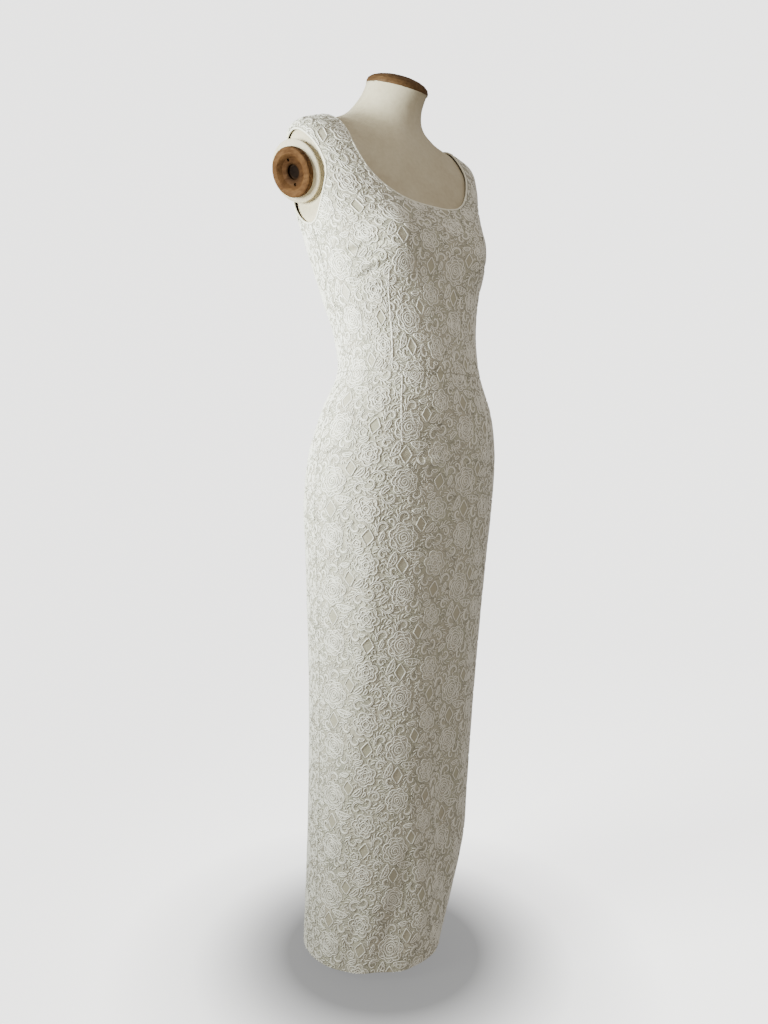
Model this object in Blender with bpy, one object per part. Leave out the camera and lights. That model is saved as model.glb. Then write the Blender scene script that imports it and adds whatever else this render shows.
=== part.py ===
"""Sleeveless column wedding dress of corded lace on a limbless dress form, life size.

Metres, +Z up. The wearer's front faces -Y and the wearer's left is +X.
The origin is the centre of the stand's underside, which lies on the floor at z 0.
"""
from math import cos, degrees, pi, radians, sin

import bmesh
import bpy
import numpy as np
from mathutils import Vector
from mathutils.geometry import delaunay_2d_cdt

SIDE_NAMES = {1: "left", -1: "right"}

# Cloth and seams
WALL = 0.0018
HALF_SEAM = 0.0002
CENTRE_GAP = degrees(HALF_SEAM / 0.14)
PIECE_GAP = 0.0003
BINDING_WIDTH = 0.0030
BINDING_RISE = 0.0006

# The dressed figure, ring by ring from the neck's rim to the hem
FIGURE_COLUMNS = ("side_z", "front_z", "back_z", "half_width", "side_y", "front_y", "back_y", "roundness")
FIGURE = {
    "neck_rim": (1.4264, 1.409, 1.444, 0.0500, 0.000, -0.0490, 0.0500, 1.00),
    "neck_mid": (1.413, 1.398, 1.432, 0.0510, 0.012, -0.0400, 0.0630, 1.00),
    "neck_low": (1.400, 1.384, 1.418, 0.0555, 0.027, -0.033, 0.0840, 1.00),
    "neck_base": (1.387, 1.360, 1.400, 0.068, 0.040, -0.029, 0.106, 1.00),
    "shoulder_in": (1.374, 1.330, 1.380, 0.096, 0.042, -0.041, 0.118, 1.00),
    "shoulder_mid": (1.360, 1.300, 1.356, 0.139, 0.037, -0.056, 0.125, 1.00),
    "shoulder_tip": (1.341, 1.272, 1.330, 0.173, 0.030, -0.068, 0.128, 1.00),
    "arm_top": (1.310, 1.248, 1.300, 0.179, 0.026, -0.077, 0.129, 0.98),
    "arm_mid": (1.268, 1.226, 1.264, 0.174, 0.019, -0.087, 0.127, 0.96),
    "arm_low": (1.226, 1.204, 1.226, 0.170, 0.010, -0.100, 0.120, 0.94),
    "armpit": (1.192, 1.182, 1.192, 0.163, 0.000, -0.112, 0.108, 0.92),
    "bust": (1.150, 1.150, 1.150, 0.151, -0.007, -0.117, 0.097, 0.90),
    "underbust": (1.085, 1.085, 1.085, 0.135, -0.017, -0.119, 0.077, 0.92),
    "ribs": (1.028, 1.028, 1.028, 0.124, -0.029, -0.126, 0.055, 0.95),
    "waist": (0.965, 0.965, 0.965, 0.126, -0.040, -0.138, 0.038, 0.97),
    "high_hip": (0.913, 0.913, 0.913, 0.149, -0.039, -0.147, 0.051, 0.96),
    "upper_hip": (0.850, 0.850, 0.850, 0.164, -0.032, -0.150, 0.075, 0.94),
    "hip": (0.775, 0.775, 0.775, 0.167, -0.024, -0.148, 0.094, 0.94),
    "thigh": (0.675, 0.675, 0.675, 0.160, -0.019, -0.143, 0.099, 0.95),
    "knee": (0.450, 0.450, 0.450, 0.147, -0.011, -0.131, 0.105, 0.97),
    "calf": (0.220, 0.220, 0.220, 0.142, -0.002, -0.121, 0.115, 0.99),
    "hem": (0.016, 0.016, 0.016, 0.144, 0.005, -0.113, 0.124, 1.00),
}
RINGS = np.array(list(FIGURE.values()))
WAIST_DOWN = 0.5345
BUST = {"x": 0.086, "z": 1.160, "lift": 0.016, "half_width": 0.044, "above": 0.060, "below": 0.046}

# Neckline: turn from the centre line in degrees, distance down from the neck's rim
NECKLINE_FRONT = ((0, 0.2435), (12, 0.2430), (21, 0.2365), (29, 0.2215), (35, 0.2030), (40, 0.1840),
                  (46, 0.1640), (56, 0.1460), (70, 0.1360), (90, 0.1320))
NECKLINE_BACK = ((0, 0.1640), (20, 0.1625), (40, 0.1550), (62, 0.1420), (90, 0.1320))

# Armhole from its top to its bottom: distance down, turn forward and turn back from the side line
ARMHOLE = ((0.1830, 0.0, 0.0), (0.1865, 11.0, 10.0), (0.1950, 20.0, 18.0), (0.2070, 26.0, 24.0),
           (0.2240, 28.5, 27.5), (0.2430, 27.0, 28.5), (0.2620, 23.0, 27.0), (0.2810, 17.5, 22.5),
           (0.2970, 11.0, 15.0), (0.3070, 5.5, 7.5), (0.3110, 0.0, 0.0))

# Folds as soft ridges (+) and troughs (-) from one place on the cloth to another
FOLD_RADIUS = 0.14
FOLD_COLUMNS = ("from_angle", "from_down", "to_angle", "to_down", "half_width", "height")
FOLDS = {
    "hip_pull_right": (-128, 0.676, -98, 0.664, 0.013, 0.0024),
    "hip_pull_centre": (-98, 0.664, -76, 0.638, 0.013, 0.0024),
    "hip_pull_left": (-84, 0.690, -58, 0.648, 0.013, 0.0020),
    "front_run_upper": (-99, 0.840, -90, 1.060, 0.018, -0.0045),
    "front_run_lower": (-90, 1.060, -80, 1.380, 0.022, -0.0065),
    "front_swell": (-72, 0.900, -62, 1.300, 0.022, 0.0040),
    "side_edge_right": (-136, 0.720, -154, 1.300, 0.024, 0.0045),
    "hem_slant_right": (-108, 1.300, -128, 1.500, 0.018, -0.0065),
    "hem_slant_centre": (-92, 1.370, -110, 1.500, 0.016, 0.0045),
    "side_run_left": (-22, 0.900, -10, 1.330, 0.022, -0.0045),
    "back_run_left": (56, 0.940, 64, 1.480, 0.022, -0.0055),
    "back_swell": (84, 1.000, 92, 1.440, 0.026, 0.0040),
    "back_run_right": (124, 0.900, 116, 1.450, 0.024, -0.0055),
    "seat_pull": (66, 0.675, 112, 0.680, 0.014, 0.0018),
}
# The front left of the hem swings in under the figure
HEM_SWING = {"angle": -36, "spread": 36, "start": 1.290, "depth": 0.042}

# The form under the dress
CLOTH_EASE = 0.0032
SHOULDER_EASE = 0.0014
TORSO_END_Z = 0.690
CAP_EDGE = 0.0035
CAP_RISE = 0.0200
ARM = {"x": 0.1715, "y": 0.0310, "z": 1.2695, "toe": 16.5, "droop": 24.0}
# Hollow of the torso behind each arm plate: depth, radius of its flat floor, slope of its wall
ARM_HOLLOW = {"depth": 0.0105, "radius": 0.0500, "slope": 1.5}
# Rings of the stump from its seat to its face: radius, height below the plate's face
STUMP_RINGS = ((0.0180, -0.0102), (0.0290, -0.0090), (0.0405, -0.0060), (0.0458, -0.0024),
               (0.0450, 0.0000))
RING_RADIUS = 0.0365
RING_DEPTH = 0.012
SCREW_OFFSET = 0.0180
SCREW_RADIUS = 0.0024
SCREW_TURNS = (-4.0, 188.0)
BASE_RADIUS = 0.080
BASE_HEIGHT = 0.012
POLE_RADIUS = 0.014

# The closed zip in the centre back seam
ZIP_TOP = 0.1720
ZIP_END = 0.7298
ZIP_TAPE_HALF = 0.0100
SLIDER = {"width": 0.0050, "length": 0.0090, "top": 0.0025, "arch_width": 0.0016, "arch_top": 0.0052}
PULL = {"axis": 0.0034, "width": 0.0050, "length": 0.0240, "thick": 0.0010, "window": 0.0026}

# Grid counts
HALF_FRONT_COLUMNS = 13
HALF_BACK_COLUMNS = 10
SHOULDER_ROWS = 5
ARMHOLE_STEPS = 16
SIDE_SEAM_ROWS = 14
CENTRE_BACK_ROWS = 24
PANEL_STEP = 0.018
PANEL_RADIUS = 0.15
HIP_ROWS = 5
SKIRT_ROWS = 13
TORSO_COLUMNS = 48
STUMP_SIDES = 28
RING_SIDES = 28


def column(name):
    return RINGS[:, FIGURE_COLUMNS.index(name)]


def ring_distances():
    """Distance down the figure to each ring, the mean over side, front and back, counted from the waist."""
    total = 0
    for across, height in (("half_width", "side_z"), ("front_y", "front_z"), ("back_y", "back_z")):
        steps = np.hypot(np.diff(column(across)), np.diff(column(height)))
        total = total + np.concatenate([[0], np.cumsum(steps)])
    return WAIST_DOWN + (total - total[list(FIGURE).index("waist")]) / 3


DOWNS = ring_distances()


def down_at(ring):
    return DOWNS[list(FIGURE).index(ring)]


def smooth(at, values, x):
    """Cubic curve through the values, with tangents from the neighbours on both sides."""
    at = np.asarray(at, float)
    values = np.asarray(values, float)
    wide = (slice(None),) + (None,) * (values.ndim - 1)
    step = np.diff(at)[wide]
    slope = np.diff(values, axis=0) / step
    tangent = np.empty_like(values)
    tangent[1:-1] = (slope[:-1] * step[1:] + slope[1:] * step[:-1]) / (step[:-1] + step[1:])
    tangent[0], tangent[-1] = slope[0], slope[-1]
    x = np.clip(x, at[0], at[-1])
    k = np.clip(np.searchsorted(at, x, side="right") - 1, 0, len(at) - 2)
    h = at[k + 1] - at[k]
    t = (x - at[k]) / h
    if values.ndim > 1:
        t = t[..., None]
        h = h[..., None]
    return ((2 * t**3 - 3 * t**2 + 1) * values[k] + (t**3 - 2 * t**2 + t) * h * tangent[k]
            + (3 * t**2 - 2 * t**3) * values[k + 1] + (t**3 - t**2) * h * tangent[k + 1])


def figure_point(angle, down):
    """Point of the dressed figure; angle 0 is the wearer's left, 90 the back, -90 the front."""
    angle, down = np.broadcast_arrays(np.radians(angle), np.asarray(down, float))
    ring = smooth(DOWNS, RINGS, down)
    side_z, front_z, back_z, half_width, side_y, front_y, back_y, roundness = np.moveaxis(ring, -1, 0)
    c, s = np.cos(angle), np.sin(angle)
    x = half_width * np.sign(c) * np.abs(c) ** roundness
    y = side_y + (np.where(s < 0, front_y, back_y) - side_y) * np.abs(s) ** roundness
    z = side_z * c**2 + np.where(s < 0, front_z, back_z) * s**2
    rise = z - BUST["z"]
    tall = np.where(rise > 0, BUST["above"], BUST["below"])
    bust = BUST["lift"] * np.exp(-((np.abs(x) - BUST["x"]) / BUST["half_width"])**2 - (rise / tall)**2)
    y = y - np.where(s < 0, bust * np.sqrt(np.abs(s)), 0)
    return np.stack([x, y, z], -1)


def unit(vectors):
    return vectors / np.linalg.norm(vectors, axis=-1, keepdims=True)


def outward(angle, down):
    turn, slip = 0.05, 0.0002
    along = figure_point(angle + turn, down) - figure_point(angle - turn, down)
    below = figure_point(angle, down + slip) - figure_point(angle, down - slip)
    return unit(np.cross(below, along))


def fold_height(angle, down):
    """How far the folds push the cloth out (+) or in (-)."""
    height = np.zeros(np.broadcast(angle, down).shape)
    for fold in FOLDS.values():
        place = dict(zip(FOLD_COLUMNS, fold))
        start = np.array([radians(place["from_angle"]) * FOLD_RADIUS, place["from_down"]])
        run = np.array([radians(place["to_angle"]) * FOLD_RADIUS, place["to_down"]]) - start
        at = np.stack(np.broadcast_arrays(np.radians(angle) * FOLD_RADIUS, down), -1) - start
        t = at @ run / (run @ run)
        apart = np.linalg.norm(at - np.clip(t, 0, 1)[..., None] * run, axis=-1)
        fade = np.sin(pi * np.clip(0.12 + 0.76 * t, 0, 1))
        height = height + place["height"] * fade * np.exp(-(apart / place["half_width"])**2)
    swing = np.clip((down - HEM_SWING["start"]) / (DOWNS[-1] - HEM_SWING["start"]), 0, 1)
    near = np.exp(-((angle - HEM_SWING["angle"]) / HEM_SWING["spread"])**2)
    return height - HEM_SWING["depth"] * near * swing**1.6


def cloth_point(angle, down, inset=0.0):
    angle = np.asarray(angle, float)
    down = np.asarray(down, float)
    turned = (angle + 180) % 360 - 180
    return figure_point(angle, down) + (fold_height(turned, down) - inset)[..., None] * outward(angle, down)


def form_inset(angle, down):
    """Depth of the form's surface under the figure's."""
    start = down_at("neck_base")
    clear = WALL + CLOTH_EASE
    seat = WALL + SHOULDER_EASE
    centre = np.interp(down, [start, down_at("shoulder_in"), down_at("shoulder_mid")], [0.0, seat, clear])
    seated = [start, down_at("shoulder_in"), down_at("shoulder_mid"), down_at("shoulder_tip")]
    side = np.interp(down, seated, [0.0, seat, seat, clear])
    ridge = np.abs(np.cos(np.radians(angle))) ** 6
    return centre + (side - centre) * ridge


def arm_frame(side):
    """Outward, forward and upward directions and the centre of the arm plate's face."""
    toe, droop = radians(ARM["toe"]), radians(ARM["droop"])
    out = Vector((side * cos(toe) * cos(droop), -sin(toe) * cos(droop), -sin(droop)))
    forward = Vector((-side * sin(toe), -cos(toe), 0)).normalized()
    up = out.cross(forward) * side
    return Vector((side * ARM["x"], ARM["y"], ARM["z"])), out, forward, up


def form_point(angle, down):
    """Place on the form's surface, hollowed behind each arm plate."""
    points = figure_point(angle, down) - form_inset(angle, down)[..., None] * outward(angle, down)
    for side in (1, -1):
        centre, out, forward, up = arm_frame(side)
        height = (points - centre) @ np.array(out)
        radius = np.linalg.norm(points - centre - height[..., None] * np.array(out), axis=-1)
        wall = ARM_HOLLOW["slope"] * np.maximum(0, radius - ARM_HOLLOW["radius"])
        excess = np.maximum(0, height + ARM_HOLLOW["depth"] - wall)
        points = points - excess[..., None] * np.array(out)
    return points


def material(name, colour, roughness, metallic=0.0):
    made = bpy.data.materials.new(name)
    made.use_nodes = True
    shader = made.node_tree.nodes["Principled BSDF"]
    shader.inputs["Base Color"].default_value = (*colour, 1.0)
    shader.inputs["Roughness"].default_value = roughness
    shader.inputs["Metallic"].default_value = metallic
    return made


def add_object(name, mesh_build, made, smooth_angle=40):
    mesh = bpy.data.meshes.new(name)
    bmesh.ops.recalc_face_normals(mesh_build, faces=mesh_build.faces)
    if mesh_build.calc_volume(signed=True) < 0:
        bmesh.ops.reverse_faces(mesh_build, faces=mesh_build.faces)
    mesh_build.to_mesh(mesh)
    mesh_build.free()
    mesh.materials.append(made)
    mesh.shade_smooth()
    mesh.set_sharp_from_angle(angle=radians(smooth_angle))
    placed = bpy.data.objects.new(name, mesh)
    bpy.context.collection.objects.link(placed)
    return placed


def grid_faces(build, rows, closed):
    """Quads between each row of vertices and the next."""
    for upper, lower in zip(rows, rows[1:]):
        count = len(upper)
        for j in range(count if closed else count - 1):
            k = (j + 1) % count
            build.faces.new((upper[j], lower[j], lower[k], upper[k]))


def add_rows(build, points):
    return [[build.verts.new(p) for p in row] for row in points]


def wall_piece(name, angle, down, made, outer=0.0, inner=WALL):
    """Closed wall over a grid of places: an outer face, an inner face and the edges between."""
    build = bmesh.new()
    out = add_rows(build, cloth_point(angle, down, outer))
    back = add_rows(build, cloth_point(angle, down, inner))
    grid_faces(build, out, False)
    grid_faces(build, [row[::-1] for row in back], False)
    for edge_out, edge_in in ((out[0], back[0]), (out[-1], back[-1]),
                              ([r[0] for r in out], [r[0] for r in back]),
                              ([r[-1] for r in out], [r[-1] for r in back])):
        grid_faces(build, [edge_out, edge_in], False)
    return add_object(name, build, made)


def solid_of_rows(name, points, made, smooth_angle=40):
    """Closed body over rings of points, each end closed by a fan to its middle."""
    build = bmesh.new()
    rows = add_rows(build, points)
    grid_faces(build, rows, True)
    for ring in (rows[0], rows[-1]):
        middle = build.verts.new(sum((v.co for v in ring), Vector()) / len(ring))
        for j, vert in enumerate(ring):
            build.faces.new((middle, vert, ring[(j + 1) % len(ring)]))
    return add_object(name, build, made, smooth_angle)


def neckline(table, turn):
    turns, downs = np.array(table).T
    return smooth(turns, downs, turn)


def half_outline(table, arm_column, columns):
    """One half's outline from the neckline's centre over shoulder, armhole and side to the waist."""
    arm = smooth(np.arange(len(ARMHOLE)), ARMHOLE, np.linspace(0, len(ARMHOLE) - 1, ARMHOLE_STEPS + 1))
    neck_turn = np.linspace(0, 90, columns + 1)
    neck = np.stack([neck_turn, neckline(table, neck_turn)], -1)
    rows = np.arange(1, SHOULDER_ROWS) / SHOULDER_ROWS
    shoulder = np.stack([np.full(len(rows), 90.0), neck[-1, 1] + (arm[0, 0] - neck[-1, 1]) * rows], -1)
    armhole = np.stack([90 - arm[:, arm_column], arm[:, 0]], -1)
    waist = down_at("waist") - HALF_SEAM
    seam_down = np.linspace(arm[-1, 0], waist, SIDE_SEAM_ROWS + 1)[1:]
    seam = np.stack([np.full(len(seam_down), 90.0), seam_down], -1)
    bottom_turn = neck_turn[-2::-1]
    bottom = np.stack([bottom_turn, np.full(len(bottom_turn), waist)], -1)
    return np.concatenate([neck, shoulder, armhole, seam, bottom])


def inside(points, outline):
    """Which points lie inside a closed outline, by counting the edges to their right."""
    x, y = points[:, :1], points[:, 1:]
    ax, ay = outline.T
    bx, by = np.roll(outline, -1, axis=0).T
    level = np.where(by == ay, 1.0, by - ay)
    crossing = ((ay > y) != (by > y)) & (x < ax + (y - ay) / level * (bx - ax))
    return crossing.sum(axis=1) % 2 == 1


def edge_distance(points, outline):
    start, run = outline, np.roll(outline, -1, axis=0) - outline
    apart = points[:, None] - start
    t = np.clip((apart * run).sum(-1) / (run * run).sum(-1), 0, 1)
    return np.linalg.norm(apart - t[..., None] * run, axis=-1).min(axis=1)


def cut_panel(name, outline, made):
    """Closed wall over an outline of angle and down, filled with an even net of triangles."""
    flat = outline * (radians(1) * PANEL_RADIUS, 1)
    low, high = flat.min(axis=0), flat.max(axis=0)
    rows = np.arange(low[1], high[1], PANEL_STEP * sin(radians(60)))
    net = [(x + (i % 2) * PANEL_STEP / 2, y) for i, y in enumerate(rows)
           for x in np.arange(low[0], high[0], PANEL_STEP)]
    net = np.array(net)
    net = net[inside(net, flat)]
    net = net[edge_distance(net, flat) > PANEL_STEP * 0.55]
    points = [Vector(p) for p in np.concatenate([flat, net])]
    found = delaunay_2d_cdt(points, [], [list(range(len(flat)))], 1, 1e-7)
    corners, faces = found[0], found[2]
    place = np.array([tuple(c) for c in corners]) / (radians(1) * PANEL_RADIUS, 1)
    build = bmesh.new()
    out = add_rows(build, [cloth_point(place[:, 0], place[:, 1])])[0]
    back = add_rows(build, [cloth_point(place[:, 0], place[:, 1], WALL)])[0]
    sides = {}
    for face in faces:
        build.faces.new([out[k] for k in face])
        build.faces.new([back[k] for k in reversed(face)])
        for a, b in zip(face, face[1:] + face[:1]):
            sides[(a, b)] = (b, a)
    for (a, b), opposite in sides.items():
        if opposite not in sides:
            build.faces.new((out[b], out[a], back[a], back[b]))
    return add_object(name, build, made)


def skirt_half(columns):
    waist = down_at("waist") + HALF_SEAM
    hip = down_at("hip")
    downs = np.concatenate([np.linspace(waist, hip, HIP_ROWS, endpoint=False),
                            np.linspace(hip, DOWNS[-1], SKIRT_ROWS)])
    turn = np.broadcast_to(np.linspace(0, 90, columns + 1), (len(downs), columns + 1))
    return turn, np.broadcast_to(downs[:, None], turn.shape)


def clear_of_seams(turn, centre_gap):
    return np.clip(turn, centre_gap, 90 - degrees(HALF_SEAM / 0.10))


def bodice_front(made):
    outline = half_outline(NECKLINE_FRONT, 1, HALF_FRONT_COLUMNS)
    turn, down = clear_of_seams(outline[:, 0], 0), outline[:, 1]
    left = np.stack([-90 + turn, down], -1)
    right = np.stack([-90 - turn, down], -1)[-2:0:-1]
    return cut_panel("bodice_front", np.concatenate([left, right]), made)


def centre_back_downs():
    waist = down_at("waist") - HALF_SEAM
    return np.linspace(neckline(NECKLINE_BACK, 0.0), waist, CENTRE_BACK_ROWS + 1)


def bodice_back(side, made):
    """One back half; side is +1 for the wearer's left and -1 for the right."""
    outline = half_outline(NECKLINE_BACK, 2, HALF_BACK_COLUMNS)
    seam = centre_back_downs()[-2:0:-1]
    turn = clear_of_seams(np.append(outline[:, 0], np.zeros(len(seam))), CENTRE_GAP)
    down = np.append(outline[:, 1], seam)
    return cut_panel("bodice_back_" + SIDE_NAMES[side], np.stack([90 - side * turn, down], -1), made)


def skirt_front(made):
    turn, down = skirt_half(HALF_FRONT_COLUMNS)
    turn = clear_of_seams(turn, 0)
    angle = np.concatenate([-90 - turn[:, :0:-1], -90 + turn], axis=1)
    return wall_piece("skirt_front", angle, np.concatenate([down[:, :0:-1], down], axis=1), made)


def skirt_back(side, made):
    turn, down = skirt_half(HALF_BACK_COLUMNS)
    angle = 90 - side * clear_of_seams(turn, CENTRE_GAP)
    return wall_piece("skirt_back_" + SIDE_NAMES[side], angle, down, made)


def binding(name, angle, down, made, closed):
    """Narrow folded strip that runs along a raw edge, just past it, with the cloth on its right."""
    outer = cloth_point(angle, down)
    normal = outward(angle, down)
    if closed:
        ahead, behind = np.roll(outer, -1, axis=0) - outer, outer - np.roll(outer, 1, axis=0)
    else:
        steps = np.diff(outer, axis=0)
        ahead, behind = np.concatenate([steps, steps[-1:]]), np.concatenate([steps[:1], steps])
    past_ahead, past_behind = unit(np.cross(normal, ahead)), unit(np.cross(normal, behind))
    past = unit(past_ahead + past_behind)
    past = past / np.sum(past * past_ahead, -1, keepdims=True)
    near = outer + past * PIECE_GAP
    far = outer + past * (PIECE_GAP + BINDING_WIDTH)
    corners = [near - normal * WALL, far - normal * WALL, far + normal * BINDING_RISE * 0.4,
               (near + far) / 2 + normal * BINDING_RISE, near + normal * BINDING_RISE * 0.4]
    build = bmesh.new()
    sections = add_rows(build, np.stack(corners, 1))
    if closed:
        sections.append(sections[0])
    else:
        build.faces.new(sections[0])
        build.faces.new(sections[-1])
    grid_faces(build, sections, True)
    return add_object(name, build, made, 50)


def arm_disc(side, radius, height, count):
    """Ring of points round the arm plate's axis, from its top forwards."""
    centre, out, forward, up = arm_frame(side)
    ring = []
    for k in range(count):
        t = 2 * pi * k / count
        ring.append(centre + out * height + (up * cos(t) + forward * sin(t)) * radius)
    return ring


def side_angle(side, turn):
    """Angle on the figure of a turn forward from the side line."""
    return -turn if side > 0 else 180 + turn


def arm_stump(side, made):
    """Canvas stump that carries the wooden ring, seated in the hollow of the torso."""
    rows = [arm_disc(side, radius, height, STUMP_SIDES) for radius, height in STUMP_RINGS]
    return solid_of_rows("form_arm_stump_" + SIDE_NAMES[side], rows, made)


def hidden_helper(name, build, made, place):
    """Shape that only cuts into or joins onto another piece."""
    helper = add_object(name, build, made)
    helper.location = place
    helper.hide_render = True
    helper.display_type = "WIRE"
    return helper


def combine(piece, helper, operation):
    change = piece.modifiers.new(helper.name, "BOOLEAN")
    change.operation = operation
    change.object = helper


def arm_ring(side, made):
    """Turned wooden cup with a blind centre hole and two screw holes."""
    profile = ((0.0335, 0.0000), (0.0358, 0.0012), (RING_RADIUS, 0.0030), (RING_RADIUS, RING_DEPTH - 0.0025),
               (0.0356, RING_DEPTH - 0.0007), (0.0336, RING_DEPTH), (0.0268, RING_DEPTH - 0.0003),
               (0.0250, RING_DEPTH - 0.0016), (0.0200, 0.0064), (0.0125, 0.0052), (0.0110, 0.0044),
               (0.0106, 0.0012))
    rows = [arm_disc(side, radius, PIECE_GAP + height, RING_SIDES) for radius, height in profile]
    ring = solid_of_rows("form_arm_ring_" + SIDE_NAMES[side], rows, made, 30)
    centre, out, forward, up = arm_frame(side)
    for number, turn in enumerate(SCREW_TURNS):
        offset = (up * cos(radians(turn)) + forward * sin(radians(turn))) * SCREW_OFFSET
        build = bmesh.new()
        bmesh.ops.create_cone(build, cap_ends=True, segments=12, depth=0.010,
                              radius1=SCREW_RADIUS, radius2=SCREW_RADIUS)
        name = "cutter_screw_%s_%d" % (SIDE_NAMES[side], number)
        cutter = hidden_helper(name, build, made, centre + out * 0.0085 + offset)
        cutter.rotation_mode = "QUATERNION"
        cutter.rotation_quaternion = out.to_track_quat("Z", "Y")
        combine(ring, cutter, "DIFFERENCE")
    return ring


def neck_rim(scale=1.0, height=0.0):
    """The neck's rim, flat and tipped forward, drawn in to the scale and raised square to itself."""
    points = figure_point(np.arange(TORSO_COLUMNS) * 360 / TORSO_COLUMNS, DOWNS[0])
    ring = dict(zip(FIGURE_COLUMNS, FIGURE["neck_rim"]))
    centre = np.array([0, ring["side_y"], ring["side_z"]])
    slope = (ring["back_z"] - ring["front_z"]) / (ring["back_y"] - ring["front_y"])
    points[:, 2] = centre[2] + slope * (points[:, 1] - centre[1])
    square = np.array([0, -slope, 1]) / np.hypot(slope, 1)
    return centre + scale * (points - centre) + height * square


def torso(made):
    last = np.interp(-TORSO_END_Z, -column("side_z"), DOWNS)
    stops = [d for d in DOWNS if d < last - 0.02]
    middles = [(a + b) / 2 for a, b in zip(stops, stops[1:]) if b - a > 0.045 or 0.07 < a < 0.32]
    downs = sorted(stops[1:] + middles + [last])
    angle = np.arange(TORSO_COLUMNS) * 360 / TORSO_COLUMNS
    rows = [neck_rim()] + [form_point(angle, np.full(TORSO_COLUMNS, d)) for d in downs]
    return solid_of_rows("form_torso", rows, made)


def neck_cap(made):
    rows = [neck_rim(1.0, PIECE_GAP), neck_rim(1.0, PIECE_GAP + CAP_EDGE)]
    for k in range(1, 6):
        t = radians(15 * k)
        rows.append(neck_rim(cos(t), PIECE_GAP + CAP_EDGE + (CAP_RISE - CAP_EDGE) * sin(t)))
    return solid_of_rows("form_neck_cap", rows, made)


def turned(name, profile, made):
    """Round solid on the stand's upright axis, from its profile of radius and height."""
    ring = np.radians(np.arange(RING_SIDES) * 360 / RING_SIDES)
    rows = []
    for radius, height in profile:
        level = np.full(RING_SIDES, height)
        rows.append(np.stack([radius * np.cos(ring), radius * np.sin(ring), level], -1))
    return solid_of_rows(name, rows, made, 30)


def stand(made):
    turned("form_base", ((BASE_RADIUS, 0), (BASE_RADIUS, BASE_HEIGHT - 0.003),
                         (BASE_RADIUS - 0.003, BASE_HEIGHT)), made)
    turned("form_pole", ((POLE_RADIUS, BASE_HEIGHT + PIECE_GAP),
                         (POLE_RADIUS, TORSO_END_Z - PIECE_GAP)), made)


def zip_tape(made):
    """Tape behind the centre back seam, on the same rows as the panels that it joins."""
    _, skirt = skirt_half(HALF_BACK_COLUMNS)
    downs = np.concatenate([centre_back_downs()[:-1], [down_at("waist")], skirt[1:, 0]])
    downs = downs[(downs > ZIP_TOP - 0.008) & (downs < ZIP_END + 0.001)]
    half_width = np.interp(downs, DOWNS, column("half_width"))
    turn = np.degrees(ZIP_TAPE_HALF / half_width)
    angle = 90 + turn[:, None] * np.array([-1.0, 0.0, 1.0])
    down = np.broadcast_to(downs[:, None], angle.shape)
    return wall_piece("zip_tape", angle, down, made, WALL + 0.0005, WALL + 0.0015)


def box(build, low, high):
    made = bmesh.ops.create_cube(build, size=1.0)["verts"]
    low, high = Vector(low), Vector(high)
    for vert in made:
        vert.co = Vector(((low[i] + high[i]) / 2 + vert.co[i] * (high[i] - low[i]) for i in range(3)))


def pull_axis():
    seat = figure_point(90.0, ZIP_TOP + 0.006)
    return Vector((0, seat[1] + PULL["axis"], seat[2]))


def zip_slider(made):
    """Slider block with the arch that holds the pull tab's bar."""
    half, length = SLIDER["width"] / 2, SLIDER["length"] / 2
    top = SLIDER["top"] - PULL["axis"]
    build = bmesh.new()
    box(build, (-half, PIECE_GAP - PULL["axis"] + 0.0001, -length), (half, top, length))
    slider = add_object("zip_slider", build, made)
    slider.location = pull_axis()
    foot, rim = top - 0.0008, SLIDER["arch_top"] - PULL["axis"]
    outline = ((foot, 0.0030), (rim - 0.0006, 0.0026), (rim, 0.0016), (rim, -0.0016),
               (rim - 0.0006, -0.0026), (foot, -0.0030), (foot, -0.0015),
               (rim - 0.0009, -0.0013), (rim - 0.0009, 0.0013), (foot, 0.0015))
    edge = SLIDER["arch_width"] / 2
    build = bmesh.new()
    ends = add_rows(build, [[(x, y, z) for y, z in outline] for x in (-edge, edge)])
    grid_faces(build, ends, True)
    for end in ends:
        build.faces.new(end)
    combine(slider, hidden_helper("guide_arch", build, made, slider.location), "UNION")


def zip_pull(made):
    """Pull tab that hangs from the slider's arch by a bar above its window."""
    half, thick, window = PULL["width"] / 2, PULL["thick"] / 2, PULL["window"] / 2
    build = bmesh.new()
    box(build, (-half, -thick, -PULL["length"]), (half, thick, thick))
    pull = add_object("zip_pull", build, made)
    pull.location = pull_axis()
    build = bmesh.new()
    box(build, (-window, -0.002, -0.0058), (window, 0.002, -thick))
    combine(pull, hidden_helper("cutter_pull_window", build, made, pull.location), "DIFFERENCE")


def armhole_binding(side, made):
    arm = smooth(np.arange(len(ARMHOLE)), ARMHOLE, np.linspace(0, len(ARMHOLE) - 1, ARMHOLE_STEPS + 1))
    turn = np.concatenate([arm[:, 1], -arm[-2:0:-1, 2]])
    down = np.concatenate([arm[:, 0], arm[-2:0:-1, 0]])
    angle = side_angle(side, turn)
    if side < 0:
        angle, down = angle[::-1], down[::-1]
    return binding("armhole_binding_" + SIDE_NAMES[side], angle, down, made, True)


def neckline_binding(made):
    front = np.linspace(0, 90, HALF_FRONT_COLUMNS + 1)
    back = np.linspace(0, 90, HALF_BACK_COLUMNS + 1)
    back[0] = CENTRE_GAP
    angle = np.concatenate([90 + back, 270 - front[-2::-1], 270 + front[1:], 450 - back[-2::-1]])
    back_down = neckline(NECKLINE_BACK, back)
    front_down = neckline(NECKLINE_FRONT, front)
    down = np.concatenate([back_down, front_down[-2::-1], front_down[1:], back_down[-2::-1]])
    return binding("neckline_binding", angle, down, made, False)


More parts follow.
